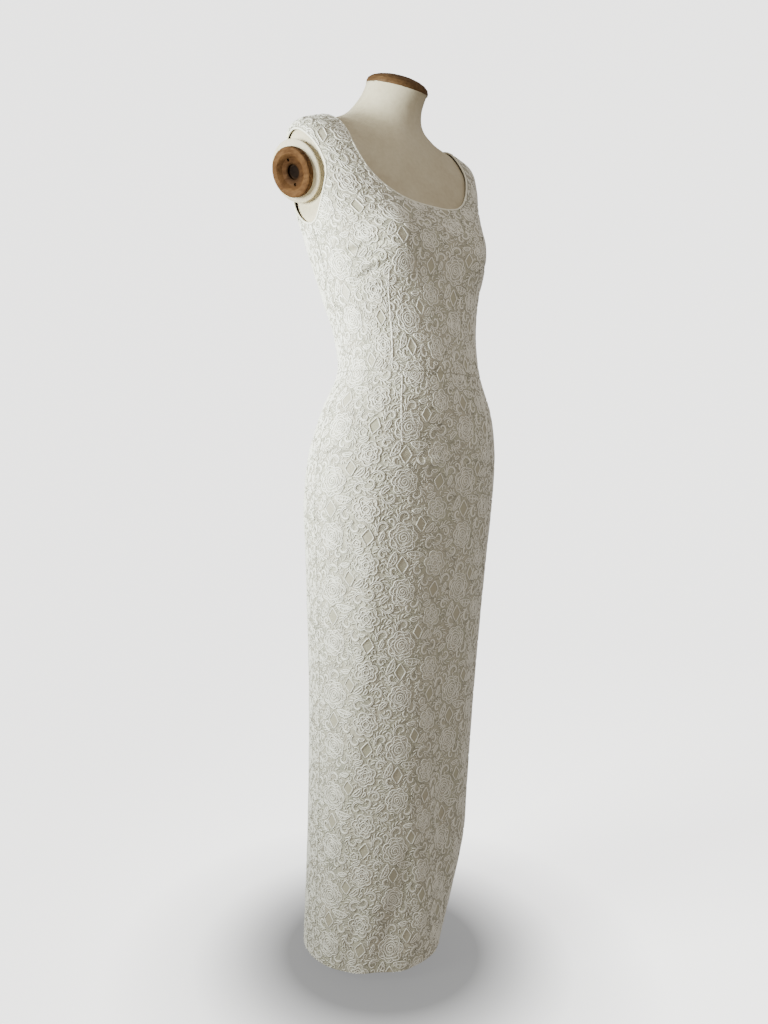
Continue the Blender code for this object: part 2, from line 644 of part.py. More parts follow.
def dress():
    lace = material("ivory_lace", (0.75, 0.74, 0.69), 0.62)
    edge = material("ivory_binding", (0.78, 0.76, 0.70), 0.50)
    tape = material("zip_tape", (0.74, 0.72, 0.66), 0.80)
    metal = material("zip_metal", (0.62, 0.61, 0.58), 0.35, 1.0)
    bodice_front(lace)
    skirt_front(lace)
    for side in (1, -1):
        bodice_back(side, lace)
        skirt_back(side, lace)
        armhole_binding(side, edge)
    neckline_binding(edge)
    zip_tape(tape)
    zip_slider(metal)
    zip_pull(metal)


def dress_form():
    canvas = material("form_canvas", (0.56, 0.54, 0.47), 0.90)
    wood = material("turned_wood", (0.36, 0.19, 0.09), 0.45)
    cap_wood = material("cap_wood", (0.20, 0.11, 0.06), 0.50)
    steel = material("stand_steel", (0.10, 0.10, 0.10), 0.45, 0.6)
    torso(canvas)
    neck_cap(cap_wood)
    for side in (1, -1):
        arm_stump(side, canvas)
        arm_ring(side, wood)
    stand(steel)


def main():
    for old in list(bpy.data.objects):
        bpy.data.objects.remove(old, do_unlink=True)
    dress()
    dress_form()


main()
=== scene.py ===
"""Looks of the lace wedding dress and its dress form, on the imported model's own frame."""
from math import cos, degrees, pi, radians, sin

import bpy
import numpy as np
from mathutils import Matrix, Vector
from mathutils.geometry import delaunay_2d_cdt


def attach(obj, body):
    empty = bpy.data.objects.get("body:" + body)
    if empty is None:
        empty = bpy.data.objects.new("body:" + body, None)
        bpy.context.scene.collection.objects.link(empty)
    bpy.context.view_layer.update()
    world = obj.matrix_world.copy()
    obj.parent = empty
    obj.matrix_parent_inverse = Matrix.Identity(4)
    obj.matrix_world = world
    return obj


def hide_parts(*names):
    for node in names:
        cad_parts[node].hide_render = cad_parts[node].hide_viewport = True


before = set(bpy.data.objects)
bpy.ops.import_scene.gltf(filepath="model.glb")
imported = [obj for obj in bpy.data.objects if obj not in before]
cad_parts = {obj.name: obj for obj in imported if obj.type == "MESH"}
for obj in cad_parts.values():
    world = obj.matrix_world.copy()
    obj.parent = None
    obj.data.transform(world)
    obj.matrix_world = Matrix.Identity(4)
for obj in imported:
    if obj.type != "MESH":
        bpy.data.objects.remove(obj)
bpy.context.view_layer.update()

BODY = "dressed_form"
SIDE_NAMES = {1: "left", -1: "right"}

# Cloth and seams, as in the solids
WALL = 0.0018
HALF_SEAM = 0.0002
CENTRE_GAP = degrees(HALF_SEAM / 0.14)
SIDE_GAP = degrees(HALF_SEAM / 0.10)
PIECE_GAP = 0.0003
BINDING_WIDTH = 0.0030
# The binding's fold in section: share of its width past the raw edge, height over the cloth
BINDING_SECTION = ((0.0, -WALL), (0.5, -WALL - 0.0002), (1.0, -WALL + 0.0003), (1.06, -0.0006),
                   (0.97, 0.0003), (0.75, 0.0008), (0.4, 0.0009), (0.12, 0.0005), (-0.02, -0.0003))

# The dressed figure, ring by ring from the neck's rim to the hem, as in the solids
FIGURE_COLUMNS = ("side_z", "front_z", "back_z", "half_width", "side_y", "front_y", "back_y", "roundness")
FIGURE = {
    "neck_rim": (1.4264, 1.409, 1.444, 0.0500, 0.000, -0.0490, 0.0500, 1.00),
    "neck_mid": (1.413, 1.398, 1.432, 0.0510, 0.012, -0.0400, 0.0630, 1.00),
    "neck_low": (1.400, 1.384, 1.418, 0.0555, 0.027, -0.033, 0.0840, 1.00),
    "neck_base": (1.387, 1.360, 1.400, 0.068, 0.040, -0.029, 0.106, 1.00),
    "shoulder_in": (1.374, 1.330, 1.380, 0.096, 0.042, -0.041, 0.118, 1.00),
    "shoulder_mid": (1.360, 1.300, 1.356, 0.139, 0.037, -0.056, 0.125, 1.00),
    "shoulder_tip": (1.341, 1.272, 1.330, 0.173, 0.030, -0.068, 0.128, 1.00),
    "arm_top": (1.310, 1.248, 1.300, 0.179, 0.026, -0.077, 0.129, 0.98),
    "arm_mid": (1.268, 1.226, 1.264, 0.174, 0.019, -0.087, 0.127, 0.96),
    "arm_low": (1.226, 1.204, 1.226, 0.170, 0.010, -0.100, 0.120, 0.94),
    "armpit": (1.192, 1.182, 1.192, 0.163, 0.000, -0.112, 0.108, 0.92),
    "bust": (1.150, 1.150, 1.150, 0.151, -0.007, -0.117, 0.097, 0.90),
    "underbust": (1.085, 1.085, 1.085, 0.135, -0.017, -0.119, 0.077, 0.92),
    "ribs": (1.028, 1.028, 1.028, 0.124, -0.029, -0.126, 0.055, 0.95),
    "waist": (0.965, 0.965, 0.965, 0.126, -0.040, -0.138, 0.038, 0.97),
    "high_hip": (0.913, 0.913, 0.913, 0.149, -0.039, -0.147, 0.051, 0.96),
    "upper_hip": (0.850, 0.850, 0.850, 0.164, -0.032, -0.150, 0.075, 0.94),
    "hip": (0.775, 0.775, 0.775, 0.167, -0.024, -0.148, 0.094, 0.94),
    "thigh": (0.675, 0.675, 0.675, 0.160, -0.019, -0.143, 0.099, 0.95),
    "knee": (0.450, 0.450, 0.450, 0.147, -0.011, -0.131, 0.105, 0.97),
    "calf": (0.220, 0.220, 0.220, 0.142, -0.002, -0.121, 0.115, 0.99),
    "hem": (0.016, 0.016, 0.016, 0.144, 0.005, -0.113, 0.124, 1.00),
}
RINGS = np.array(list(FIGURE.values()))
WAIST_DOWN = 0.5345
BUST = {"x": 0.086, "z": 1.160, "lift": 0.016, "half_width": 0.044, "above": 0.060, "below": 0.046}
NECKLINE_FRONT = ((0, 0.2435), (12, 0.2430), (21, 0.2365), (29, 0.2215), (35, 0.2030), (40, 0.1840),
                  (46, 0.1640), (56, 0.1460), (70, 0.1360), (90, 0.1320))
NECKLINE_BACK = ((0, 0.1640), (20, 0.1625), (40, 0.1550), (62, 0.1420), (90, 0.1320))
ARMHOLE = ((0.1830, 0.0, 0.0), (0.1865, 11.0, 10.0), (0.1950, 20.0, 18.0), (0.2070, 26.0, 24.0),
           (0.2240, 28.5, 27.5), (0.2430, 27.0, 28.5), (0.2620, 23.0, 27.0), (0.2810, 17.5, 22.5),
           (0.2970, 11.0, 15.0), (0.3070, 5.5, 7.5), (0.3110, 0.0, 0.0))

# Folds: from angle, from down, to angle, to down, half width, height. The first set is the solids' own.
FOLD_RADIUS = 0.14
FOLDS = (
    (-128, 0.676, -98, 0.664, 0.013, 0.0024), (-98, 0.664, -76, 0.638, 0.013, 0.0024),
    (-84, 0.690, -58, 0.648, 0.013, 0.0020), (-99, 0.840, -90, 1.060, 0.018, -0.0045),
    (-90, 1.060, -80, 1.380, 0.022, -0.0065), (-72, 0.900, -62, 1.300, 0.022, 0.0040),
    (-136, 0.720, -154, 1.300, 0.024, 0.0045), (-108, 1.300, -128, 1.500, 0.018, -0.0065),
    (-92, 1.370, -110, 1.500, 0.016, 0.0045), (-22, 0.900, -10, 1.330, 0.022, -0.0045),
    (56, 0.940, 64, 1.480, 0.022, -0.0055), (84, 1.000, 92, 1.440, 0.026, 0.0040),
    (124, 0.900, 116, 1.450, 0.024, -0.0055), (66, 0.675, 112, 0.680, 0.014, 0.0018),
)
CREASES = (
    (-163, 0.361, -128, 0.342, 0.0050, -0.0026), (-160, 0.352, -130, 0.334, 0.0060, 0.0019),
    (-160, 0.406, -129, 0.373, 0.0048, -0.0029), (-158, 0.397, -130, 0.364, 0.0060, 0.0019),
    (-150, 0.430, -134, 0.402, 0.0050, -0.0013), (-17, 0.358, -50, 0.344, 0.0050, -0.0024),
    (-20, 0.404, -50, 0.376, 0.0050, -0.0026), (-122, 0.6715, -98, 0.6600, 0.0045, -0.0026),
    (-98, 0.660, -78, 0.636, 0.0045, -0.0026), (-118, 0.680, -96, 0.671, 0.0060, 0.0019),
    (-93, 0.684, -62, 0.644, 0.0045, -0.0022), (-101, 0.609, -86, 0.599, 0.0045, -0.0016),
    (-140, 0.640, -124, 0.662, 0.0055, -0.0014), (-58, 0.640, -40, 0.664, 0.0060, -0.0019),
    (70, 0.640, 110, 0.646, 0.0060, -0.0022), (62, 0.668, 96, 0.690, 0.0060, -0.0019),
    (-95, 0.384, -97, 0.442, 0.0035, -0.0013), (30, 0.400, 56, 0.384, 0.0055, -0.0016),
    (150, 0.404, 124, 0.386, 0.0055, -0.0016), (-112, 1.180, -96, 1.420, 0.0090, 0.0022),
    (-74, 1.360, -66, 1.490, 0.0100, -0.0035), (-140, 1.380, -150, 1.490, 0.0100, -0.0029),
    (38, 1.300, 42, 1.490, 0.0100, -0.0032), (140, 1.280, 144, 1.490, 0.0110, -0.0032),
)
HEM_SWING = {"angle": -36, "spread": 36, "start": 1.290, "depth": 0.042}

# Darts: from angle, from down, to angle, to down
DARTS = (
    (-128, 0.3816, -135, 0.528), (-52, 0.3816, -45, 0.528), (-127, 0.5410, -121, 0.6479),
    (-53, 0.5410, -59, 0.6479), (56, 0.400, 52, 0.528), (124, 0.400, 128, 0.528),
    (52, 0.5410, 58, 0.650), (128, 0.5410, 122, 0.650),
)

# The form, as in the solids
CLOTH_EASE = 0.0032
SHOULDER_EASE = 0.0014
TORSO_END_Z = 0.690
ARM = {"x": 0.1715, "y": 0.0310, "z": 1.2695, "toe": 16.5, "droop": 24.0}
ARM_HOLLOW = {"depth": 0.0105, "radius": 0.0500, "slope": 1.5}
STUMP_RINGS = ((0.0180, -0.0102), (0.0290, -0.0090), (0.0405, -0.0060), (0.0458, -0.0024),
               (0.0450, 0.0000))

# Fineness of the looks, and the rough lengths that are shared out by it
CLOTH_STEP = 0.0028
LINING_STEP = 0.010
LINING_EDGE = 0.0003
ARMHOLE_STEPS = 96
FORM_COLUMNS = 120
FORM_UPPER_ROWS, FORM_LOWER_ROWS = 110, 60
STUMP_COLUMNS, STUMP_ROWS = 72, 14
FIGURE_RADIUS = 0.15
SKIRT_DEGREE = 0.0026
NECK_RUN, SHOULDER_RUN, SIDE_RUN, BACK_RUN = 0.21, 0.05, 0.22, 0.37
PAIRS_AT_ONCE = 4000000

# Lace repeat in millimetres. Heads are kind, x, y, turn and size, and sprays are kind, size and places tried
TILE_WIDTH = 112
TILE_HEIGHT = 166
CORD_STEP = 3.0
CORD_WIDTH = 0.0025
DART_WIDTH = 0.0026
CORD_RISE = 0.00170
CORD_SINK = 0.00015
HEADS = (
    ("rose", 28, 40, 20, 23.0), ("rose", 28, 123, 160, 20.5),
    ("peony", 84, 81, 40, 20.0), ("peony", 84, 164, 250, 18.5),
    ("window", 27, 82, 0, 13.5), ("window", 86, 122, 8, 13.0), ("window", 57, 20, -6, 12.0),
)
SPRAYS = (("scroll", 15.5, 312), ("leaf", 29.0, 360), ("frond", 19.0, 312), ("peony", 9.0, 360),
          ("leaf", 18.0, 600), ("scroll", 8.5, 600), ("peony", 6.0, 480), ("leaf", 11.0, 720))
ARC_TRIES = 5000
HEAD_WEIGHT, SPRAY_WEIGHT, ARC_WEIGHT = 1.0, 0.9, 0.8
GROUND_DENSITY = 0.46
CONTOURS = 9.0

# Colours, and colour ramps as pairs of place and colour
LACE_TINTS = ((0.0, (0.49, 0.47, 0.385)), (0.35, (0.50, 0.485, 0.405)), (0.65, (0.61, 0.595, 0.515)),
              (1.0, (0.76, 0.745, 0.665)))
LACE_MOTTLE = ((0.30, (0.955, 0.975, 0.93)), (0.55, (1.0, 0.99, 0.98)), (0.75, (0.985, 0.945, 0.93)))
NET_SHADE = ((0.0, (1.0, 1.0, 1.0)), (0.30, (0.86, 0.85, 0.83)))
LINE_SHADE = ((0.0, (0.84, 0.83, 0.81)), (0.5, (1.0, 1.0, 1.0)), (1.0, (1.25, 1.25, 1.25)))
CORD_TINTS = ((0.35, (0.78, 0.765, 0.69)), (0.6, (0.90, 0.885, 0.82)))
# Painted shade along both flanks of each cord, darkest at the outer edge
CORD_FLANK_SHADE = ((0.48, (1.0, 1.0, 1.0)), (0.70, (0.36, 0.35, 0.32)), (1.0, (0.30, 0.29, 0.26)))
CANVAS_STAINS = ((0.30, (0.46, 0.40, 0.29)), (0.50, (0.54, 0.48, 0.36)), (0.72, (0.59, 0.54, 0.43)))
CANVAS_SLUBS = ((0.3, (0.90, 0.895, 0.87)), (0.65, (1.0, 1.0, 1.0)))
# Painted shade in the arm ring's socket: near black in the hole and darker over the cup, by distance from
# the middle
SOCKET_PAINTED_SHADE = ((0.0, (0.05, 0.04, 0.035)), (0.0112, (0.06, 0.05, 0.045)), (0.0124, (0.45, 0.41, 0.38)),
               (0.0215, (0.55, 0.50, 0.46)), (0.0260, (1.0, 1.0, 1.0)))
LACE_IVORY = (0.78, 0.765, 0.69)
CORD_IVORY = (0.80, 0.79, 0.73)
LINING_SATIN = (0.72, 0.70, 0.63)
BINDING_SATIN = (0.82, 0.80, 0.70)
TAPE_COLOUR = (0.74, 0.72, 0.66)
CANVAS_COLOUR = (0.58, 0.52, 0.39)
RING_WOOD = ((0.042, 0.019, 0.008), (0.092, 0.047, 0.020))
CAP_WOOD = ((0.055, 0.028, 0.012), (0.13, 0.072, 0.032))
SLIDER_METAL = (0.62, 0.61, 0.58)
PULL_METAL = (0.66, 0.65, 0.62)
POLE_STEEL = (0.10, 0.10, 0.10)
BASE_PAINT = (0.06, 0.06, 0.06)

# The paper sweep, with the pool of shade round the foot as distances and greys
SWEEP = {"front": -6.0, "bend": 2.2, "radius": 2.0, "top": 7.0, "half_width": 7.0}
SHADE_MIDDLE = (-0.02, -0.02, 0.0)
SHADE_STOPS = ((0.0, 0.12), (0.16, 0.14), (0.22, 0.34), (0.32, 0.78), (0.46, 1.0))
PAPER_GREY = (0.45, 0.45, 0.45)
PAPER_GLOW = 2.5

# Lights: place, target, side, power, colour, spread. Camera: turn, pitch and roll in degrees.
LIGHTS = {
    "window_light": ((-1.36, 0.20, 1.16), (0, 0, 1.08), 0.6, 25.0, (0.94, 1.0, 0.92), 95),
    "front_fill": ((-0.9, -2.2, 2.3), (0, 0, 1.3), 1.6, 21.0, (1.0, 0.91, 0.78), 180),
}
ROOM_COLOUR = (1.0, 0.94, 0.83, 1.0)
ROOM_STRENGTH = 0.42
CAMERA = {"place": (-0.8404, -1.0566, 0.848), "turn": -38, "pitch": 4.4, "roll": 0.77, "lens": 28.41}


def column(name):
    return RINGS[:, FIGURE_COLUMNS.index(name)]


def ring_distances():
    total = 0
    for across, height in (("half_width", "side_z"), ("front_y", "front_z"), ("back_y", "back_z")):
        steps = np.hypot(np.diff(column(across)), np.diff(column(height)))
        total = total + np.concatenate([[0], np.cumsum(steps)])
    return WAIST_DOWN + (total - total[list(FIGURE).index("waist")]) / 3


DOWNS = ring_distances()


def down_at(ring):
    return DOWNS[list(FIGURE).index(ring)]


def smooth(at, values, x):
    """Cubic curve through the values, with tangents from the neighbours on both sides."""
    at = np.asarray(at, float)
    values = np.asarray(values, float)
    wide = (slice(None),) + (None,) * (values.ndim - 1)
    step = np.diff(at)[wide]
    slope = np.diff(values, axis=0) / step
    tangent = np.empty_like(values)
    tangent[1:-1] = (slope[:-1] * step[1:] + slope[1:] * step[:-1]) / (step[:-1] + step[1:])
    tangent[0], tangent[-1] = slope[0], slope[-1]
    x = np.clip(x, at[0], at[-1])
    k = np.clip(np.searchsorted(at, x, side="right") - 1, 0, len(at) - 2)
    h = at[k + 1] - at[k]
    t = (x - at[k]) / h
    if values.ndim > 1:
        t = t[..., None]
        h = h[..., None]
    return ((2 * t**3 - 3 * t**2 + 1) * values[k] + (t**3 - 2 * t**2 + t) * h * tangent[k]
            + (3 * t**2 - 2 * t**3) * values[k + 1] + (t**3 - t**2) * h * tangent[k + 1])


def figure_point(angle, down):
    """Point of the dressed figure; angle 0 is the wearer's left, 90 the back, -90 the front."""
    angle, down = np.broadcast_arrays(np.radians(angle), np.asarray(down, float))
    ring = smooth(DOWNS, RINGS, down)
    side_z, front_z, back_z, half_width, side_y, front_y, back_y, roundness = np.moveaxis(ring, -1, 0)
    c, s = np.cos(angle), np.sin(angle)
    x = half_width * np.sign(c) * np.abs(c) ** roundness
    y = side_y + (np.where(s < 0, front_y, back_y) - side_y) * np.abs(s) ** roundness
    z = side_z * c**2 + np.where(s < 0, front_z, back_z) * s**2
    rise = z - BUST["z"]
    tall = np.where(rise > 0, BUST["above"], BUST["below"])
    bust = BUST["lift"] * np.exp(-((np.abs(x) - BUST["x"]) / BUST["half_width"])**2 - (rise / tall)**2)
    y = y - np.where(s < 0, bust * np.sqrt(np.abs(s)), 0)
    return np.stack([x, y, z], -1)


def unit(vectors):
    return vectors / np.linalg.norm(vectors, axis=-1, keepdims=True)


def outward(angle, down):
    turn, slip = 0.05, 0.0002
    along = figure_point(angle + turn, down) - figure_point(angle - turn, down)
    below = figure_point(angle, down + slip) - figure_point(angle, down - slip)
    return unit(np.cross(below, along))


def fold_height(angle, down):
    """How far folds and creases push the cloth out (+) or in (-)."""
    height = np.zeros(np.broadcast(angle, down).shape)
    around = np.radians(angle) * FOLD_RADIUS
    for from_angle, from_down, to_angle, to_down, half_width, peak in FOLDS + CREASES:
        start_x, run_x = radians(from_angle) * FOLD_RADIUS, radians(to_angle - from_angle) * FOLD_RADIUS
        run_y = to_down - from_down
        t = ((around - start_x) * run_x + (down - from_down) * run_y) / (run_x**2 + run_y**2)
        on = np.clip(t, 0, 1)
        apart = (around - start_x - on * run_x)**2 + (down - from_down - on * run_y)**2
        fade = np.sin(pi * np.clip(0.12 + 0.76 * t, 0, 1))
        height = height + peak * fade * np.exp(-apart / half_width**2)
    swing = np.clip((down - HEM_SWING["start"]) / (DOWNS[-1] - HEM_SWING["start"]), 0, 1)
    near = np.exp(-((angle - HEM_SWING["angle"]) / HEM_SWING["spread"])**2)
    return height - HEM_SWING["depth"] * near * swing**1.6


def cloth_point(angle, down, inset=0.0):
    angle = np.asarray(angle, float)
    down = np.asarray(down, float)
    turned = (angle + 180) % 360 - 180
    return figure_point(angle, down) + (fold_height(turned, down) - inset)[..., None] * outward(angle, down)


def form_inset(angle, down):
    start = down_at("neck_base")
    clear = WALL + CLOTH_EASE
    seat = WALL + SHOULDER_EASE
    centre = np.interp(down, [start, down_at("shoulder_in"), down_at("shoulder_mid")], [0.0, seat, clear])
    seated = [start, down_at("shoulder_in"), down_at("shoulder_mid"), down_at("shoulder_tip")]
    side = np.interp(down, seated, [0.0, seat, seat, clear])
    ridge = np.abs(np.cos(np.radians(angle))) ** 6
    return centre + (side - centre) * ridge


def arm_frame(side):
    """Middle of the arm plate, with its directions outward, forward and up."""
    toe, droop = radians(ARM["toe"]), radians(ARM["droop"])
    out = Vector((side * cos(toe) * cos(droop), -sin(toe) * cos(droop), -sin(droop)))
    forward = Vector((-side * sin(toe), -cos(toe), 0)).normalized()
    up = out.cross(forward) * side
    return [np.array(v) for v in (Vector((side * ARM["x"], ARM["y"], ARM["z"])), out, forward, up)]


def form_point(angle, down):
    points = figure_point(angle, down) - form_inset(angle, down)[..., None] * outward(angle, down)
    for side in (1, -1):
        centre, out = arm_frame(side)[:2]
        height = (points - centre) @ out
        radius = np.linalg.norm(points - centre - height[..., None] * out, axis=-1)
        wall = ARM_HOLLOW["slope"] * np.maximum(0, radius - ARM_HOLLOW["radius"])
        excess = np.maximum(0, height + ARM_HOLLOW["depth"] - wall)
        points = points - excess[..., None] * out
    return points


# Materials

def shader_of(name, colour, roughness, metallic=0.0, sheen=0.0):
    made = bpy.data.materials.new(name)
    made.use_nodes = True
    tree = made.node_tree
    shader = tree.nodes["Principled BSDF"]
    shader.inputs["Base Color"].default_value = (*colour, 1.0)
    shader.inputs["Roughness"].default_value = roughness
    shader.inputs["Metallic"].default_value = metallic
    shader.inputs["Sheen Weight"].default_value = sheen
    shader.inputs["Sheen Roughness"].default_value = 0.4
    return made, tree, shader


def node(tree, kind, **inputs):
    made = tree.nodes.new(kind)
    for name, value in inputs.items():
        made.inputs[name].default_value = value
    return made


def texture(tree, kind, source, **inputs):
    """Node that reads its pattern at the places that the source gives."""
    made = node(tree, kind, **inputs)
    tree.links.new(source, made.inputs["Vector"])
    return made


def ramp(tree, source, stops):
    made = tree.nodes.new("ShaderNodeValToRGB")
    points = made.color_ramp.elements
    while len(points) < len(stops):
        points.new(0.5)
    for point, (place, colour) in zip(points, stops):
        point.position = place
        point.color = (*colour, 1.0)
    tree.links.new(source, made.inputs["Fac"])
    return made.outputs["Color"]


def greys(*stops):
    return tuple((place, (value,) * 3) for place, value in stops)


def bump(tree, shader, height, strength, distance, below=None):
    made = node(tree, "ShaderNodeBump", Strength=strength, Distance=distance)
    tree.links.new(height, made.inputs["Height"])
    if below is not None:
        tree.links.new(below, made.inputs["Normal"])
    tree.links.new(made.outputs["Normal"], shader.inputs["Normal"])
    return made.outputs["Normal"]


def multiply(tree, first, second, amount):
    made = tree.nodes.new("ShaderNodeMix")
    made.data_type = "RGBA"
    made.blend_type = "MULTIPLY"
    made.inputs["Factor"].default_value = amount
    tree.links.new(first, made.inputs["A"])
    tree.links.new(second, made.inputs["B"])
    return made.outputs["Result"]


def contour_lines(tree, field, dense):
    """Thin winding cords along the contour lines of a soft field, left out where the lace is open."""
    steps = node(tree, "ShaderNodeMath")
    steps.operation = "MULTIPLY"
    steps.inputs[1].default_value = CONTOURS
    tree.links.new(field, steps.inputs[0])
    fold = node(tree, "ShaderNodeMath")
    fold.operation = "PINGPONG"
    fold.inputs[1].default_value = 0.5
    tree.links.new(steps.outputs[0], fold.inputs[0])
    line = ramp(tree, fold.outputs[0], greys((0.0, 1.0), (0.09, 0.95), (0.19, 0.12), (0.50, 0.0)))
    lace = ramp(tree, dense, greys((0.25, 0.0), (0.40, 1.0)))
    return multiply(tree, line, lace, 1.0)


def lace_material():
    """Dense stitched lace, open net and the satin that shows through it, told apart by the attribute."""
    made, tree, shader = shader_of("lace", LACE_IVORY, 0.62, sheen=0.25)
    dense = tree.nodes.new("ShaderNodeAttribute")
    dense.attribute_name = "dense"
    colour = ramp(tree, dense.outputs["Fac"], LACE_TINTS)
    place = tree.nodes.new("ShaderNodeUVMap")
    place.uv_map = "cut"
    swirl = texture(tree, "ShaderNodeTexNoise", place.outputs["UV"], Scale=48.0, Detail=0.6, Distortion=0.9)
    line = contour_lines(tree, swirl.outputs["Fac"], dense.outputs["Fac"])
    cords = ramp(tree, line, LINE_SHADE)
    net = texture(tree, "ShaderNodeTexVoronoi", place.outputs["UV"], Scale=620.0)
    net.feature = "DISTANCE_TO_EDGE"
    mottle = texture(tree, "ShaderNodeTexNoise", place.outputs["UV"], Scale=26.0, Detail=3.0)
    tint = ramp(tree, mottle.outputs["Fac"], LACE_MOTTLE)
    shade = ramp(tree, net.outputs["Distance"], NET_SHADE)
    colour = multiply(tree, multiply(tree, multiply(tree, colour, tint, 1.0), shade, 0.55), cords, 1.0)
    tree.links.new(colour, shader.inputs["Base Color"])
    rough = ramp(tree, dense.outputs["Fac"], greys((0.0, 0.42), (0.8, 0.66)))
    tree.links.new(rough, shader.inputs["Roughness"])
    thread = texture(tree, "ShaderNodeTexNoise", place.outputs["UV"], Scale=260.0, Detail=4.0)
    first = bump(tree, shader, thread.outputs["Fac"], 0.45, 0.0012)
    second = bump(tree, shader, net.outputs["Distance"], 0.35, -0.0005, first)
    bump(tree, shader, line, 1.0, 0.0030, second)
    return made


def cord_material():
    """Twisted cord with painted shade along its flanks, told from its crest by the attribute."""
    made, tree, shader = shader_of("lace_cord", CORD_IVORY, 0.45, sheen=0.30)
    place = tree.nodes.new("ShaderNodeTexCoord")
    twist = texture(tree, "ShaderNodeTexNoise", place.outputs["Object"], Scale=900.0, Detail=2.0)
    colour = ramp(tree, twist.outputs["Fac"], CORD_TINTS)
    edge = tree.nodes.new("ShaderNodeAttribute")
    edge.attribute_name = "edge"
    flank_shade = ramp(tree, edge.outputs["Fac"], CORD_FLANK_SHADE)
    tree.links.new(multiply(tree, colour, flank_shade, 1.0), shader.inputs["Base Color"])
    bump(tree, shader, twist.outputs["Fac"], 0.3, 0.0003)
    return made


def satin_material(name, colour, thread=900.0):
    made, tree, shader = shader_of(name, colour, 0.36, sheen=0.2)
    place = tree.nodes.new("ShaderNodeTexCoord")
    stretch = texture(tree, "ShaderNodeMapping", place.outputs["Object"], Scale=(1.0, 1.0, 0.12))
    weave = texture(tree, "ShaderNodeTexNoise", stretch.outputs["Vector"], Scale=thread, Detail=2.0)
    dark = tuple(c * 0.90 for c in colour)
    sheen = ramp(tree, weave.outputs["Fac"], ((0.3, dark), (0.65, colour)))
    tree.links.new(sheen, shader.inputs["Base Color"])
    bump(tree, shader, weave.outputs["Fac"], 0.2, 0.0003)
    return made


def canvas_material():
    """Plain-woven canvas, a little soiled."""
    made, tree, shader = shader_of("canvas", CANVAS_COLOUR, 0.88, sheen=0.05)
    place = tree.nodes.new("ShaderNodeTexCoord")
    stain = texture(tree, "ShaderNodeTexNoise", place.outputs["Object"], Scale=9.0, Detail=5.0,
                    Roughness=0.62)
    colour = ramp(tree, stain.outputs["Fac"], CANVAS_STAINS)
    slub = texture(tree, "ShaderNodeTexNoise", place.outputs["Object"], Scale=160.0, Detail=3.0)
    grain = ramp(tree, slub.outputs["Fac"], CANVAS_SLUBS)
    tree.links.new(multiply(tree, colour, grain, 0.8), shader.inputs["Base Color"])
    normal = bump(tree, shader, slub.outputs["Fac"], 0.25, 0.0008)
    for kind in ("X", "Z"):
        weave = texture(tree, "ShaderNodeTexWave", place.outputs["Object"], Scale=420.0, Distortion=1.2,
                        Detail=1.0)
        weave.bands_direction = kind
        normal = bump(tree, shader, weave.outputs["Fac"], 0.22, 0.0003, normal)
    return made


def wood_material(name, dark, light, roughness, socket=None):
    """Stained wood with its grain running across the turning, with painted shade darkening the socket's hole
    and cup.
    """
    made, tree, shader = shader_of(name, light, roughness)
    shader.inputs["Specular IOR Level"].default_value = 0.12 if socket is None else 0.02
    place = tree.nodes.new("ShaderNodeTexCoord")
    stretch = texture(tree, "ShaderNodeMapping", place.outputs["Object"], Scale=(60.0, 14.0, 60.0),
                      Rotation=(0.3, 0.1, 0.5))
    grain = texture(tree, "ShaderNodeTexNoise", stretch.outputs["Vector"], Scale=2.2, Detail=6.0,
                    Roughness=0.65, Distortion=0.8)
    middle = tuple((a + b) / 2 for a, b in zip(dark, light))
    colour = ramp(tree, grain.outputs["Fac"], ((0.32, dark), (0.5, middle), (0.68, light)))
    if socket is not None:
        reach = node(tree, "ShaderNodeVectorMath")
        reach.operation = "DISTANCE"
        reach.inputs[1].default_value = socket
        tree.links.new(place.outputs["Object"], reach.inputs[0])
        # Painted shade: the socket's hole and cup are darkened by their distance from the middle
        colour = multiply(tree, colour, ramp(tree, reach.outputs["Value"], SOCKET_PAINTED_SHADE), 1.0)
    tree.links.new(colour, shader.inputs["Base Color"])
    rough = ramp(tree, grain.outputs["Fac"], greys((0.3, roughness + 0.15), (0.7, roughness - 0.05)))
    tree.links.new(rough, shader.inputs["Roughness"])
    bump(tree, shader, grain.outputs["Fac"], 0.3, 0.0006)
    return made


def metal_material(name, colour, roughness, metallic):
    made, tree, shader = shader_of(name, colour, roughness, metallic)
    place = tree.nodes.new("ShaderNodeTexCoord")
    wear = texture(tree, "ShaderNodeTexNoise", place.outputs["Object"], Scale=70.0, Detail=5.0)
    bright = tuple(min(1.0, c * 1.25) for c in colour)
    worn = ramp(tree, wear.outputs["Fac"], ((0.35, colour), (0.7, bright)))
    tree.links.new(worn, shader.inputs["Base Color"])
    rough = ramp(tree, wear.outputs["Fac"], greys((0.3, roughness * 0.8), (0.7, roughness * 1.3)))
    tree.links.new(rough, shader.inputs["Roughness"])
    bump(tree, shader, wear.outputs["Fac"], 0.15, 0.0004)
    return made


# Mesh helpers

def mesh_object(name, points, faces, made):
    mesh = bpy.data.meshes.new(name)
    mesh.from_pydata(np.asarray(points).tolist(), [], faces)
    mesh.materials.append(made)
    mesh.shade_smooth()
    placed = bpy.data.objects.new(name, mesh)
    bpy.context.scene.collection.objects.link(placed)
    return placed


def add_piece(name, points, faces, made, replaces=()):
    placed = mesh_object(name, points, faces, made)
    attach(placed, BODY)
    if replaces:
        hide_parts(*replaces)
    return placed


def grid_quads(rows, columns, closed=False):
    i, j = np.meshgrid(np.arange(rows - 1), np.arange(columns if closed else columns - 1), indexing="ij")
    k = (j + 1) % columns
    quads = np.stack([i * columns + j, (i + 1) * columns + j, (i + 1) * columns + k, i * columns + k], -1)
    return quads.reshape(-1, 4)


def set_values(piece, name, values):
    layer = piece.data.attributes.new(name, "FLOAT", "POINT")
    layer.data.foreach_set("value", np.ascontiguousarray(values, np.float32))


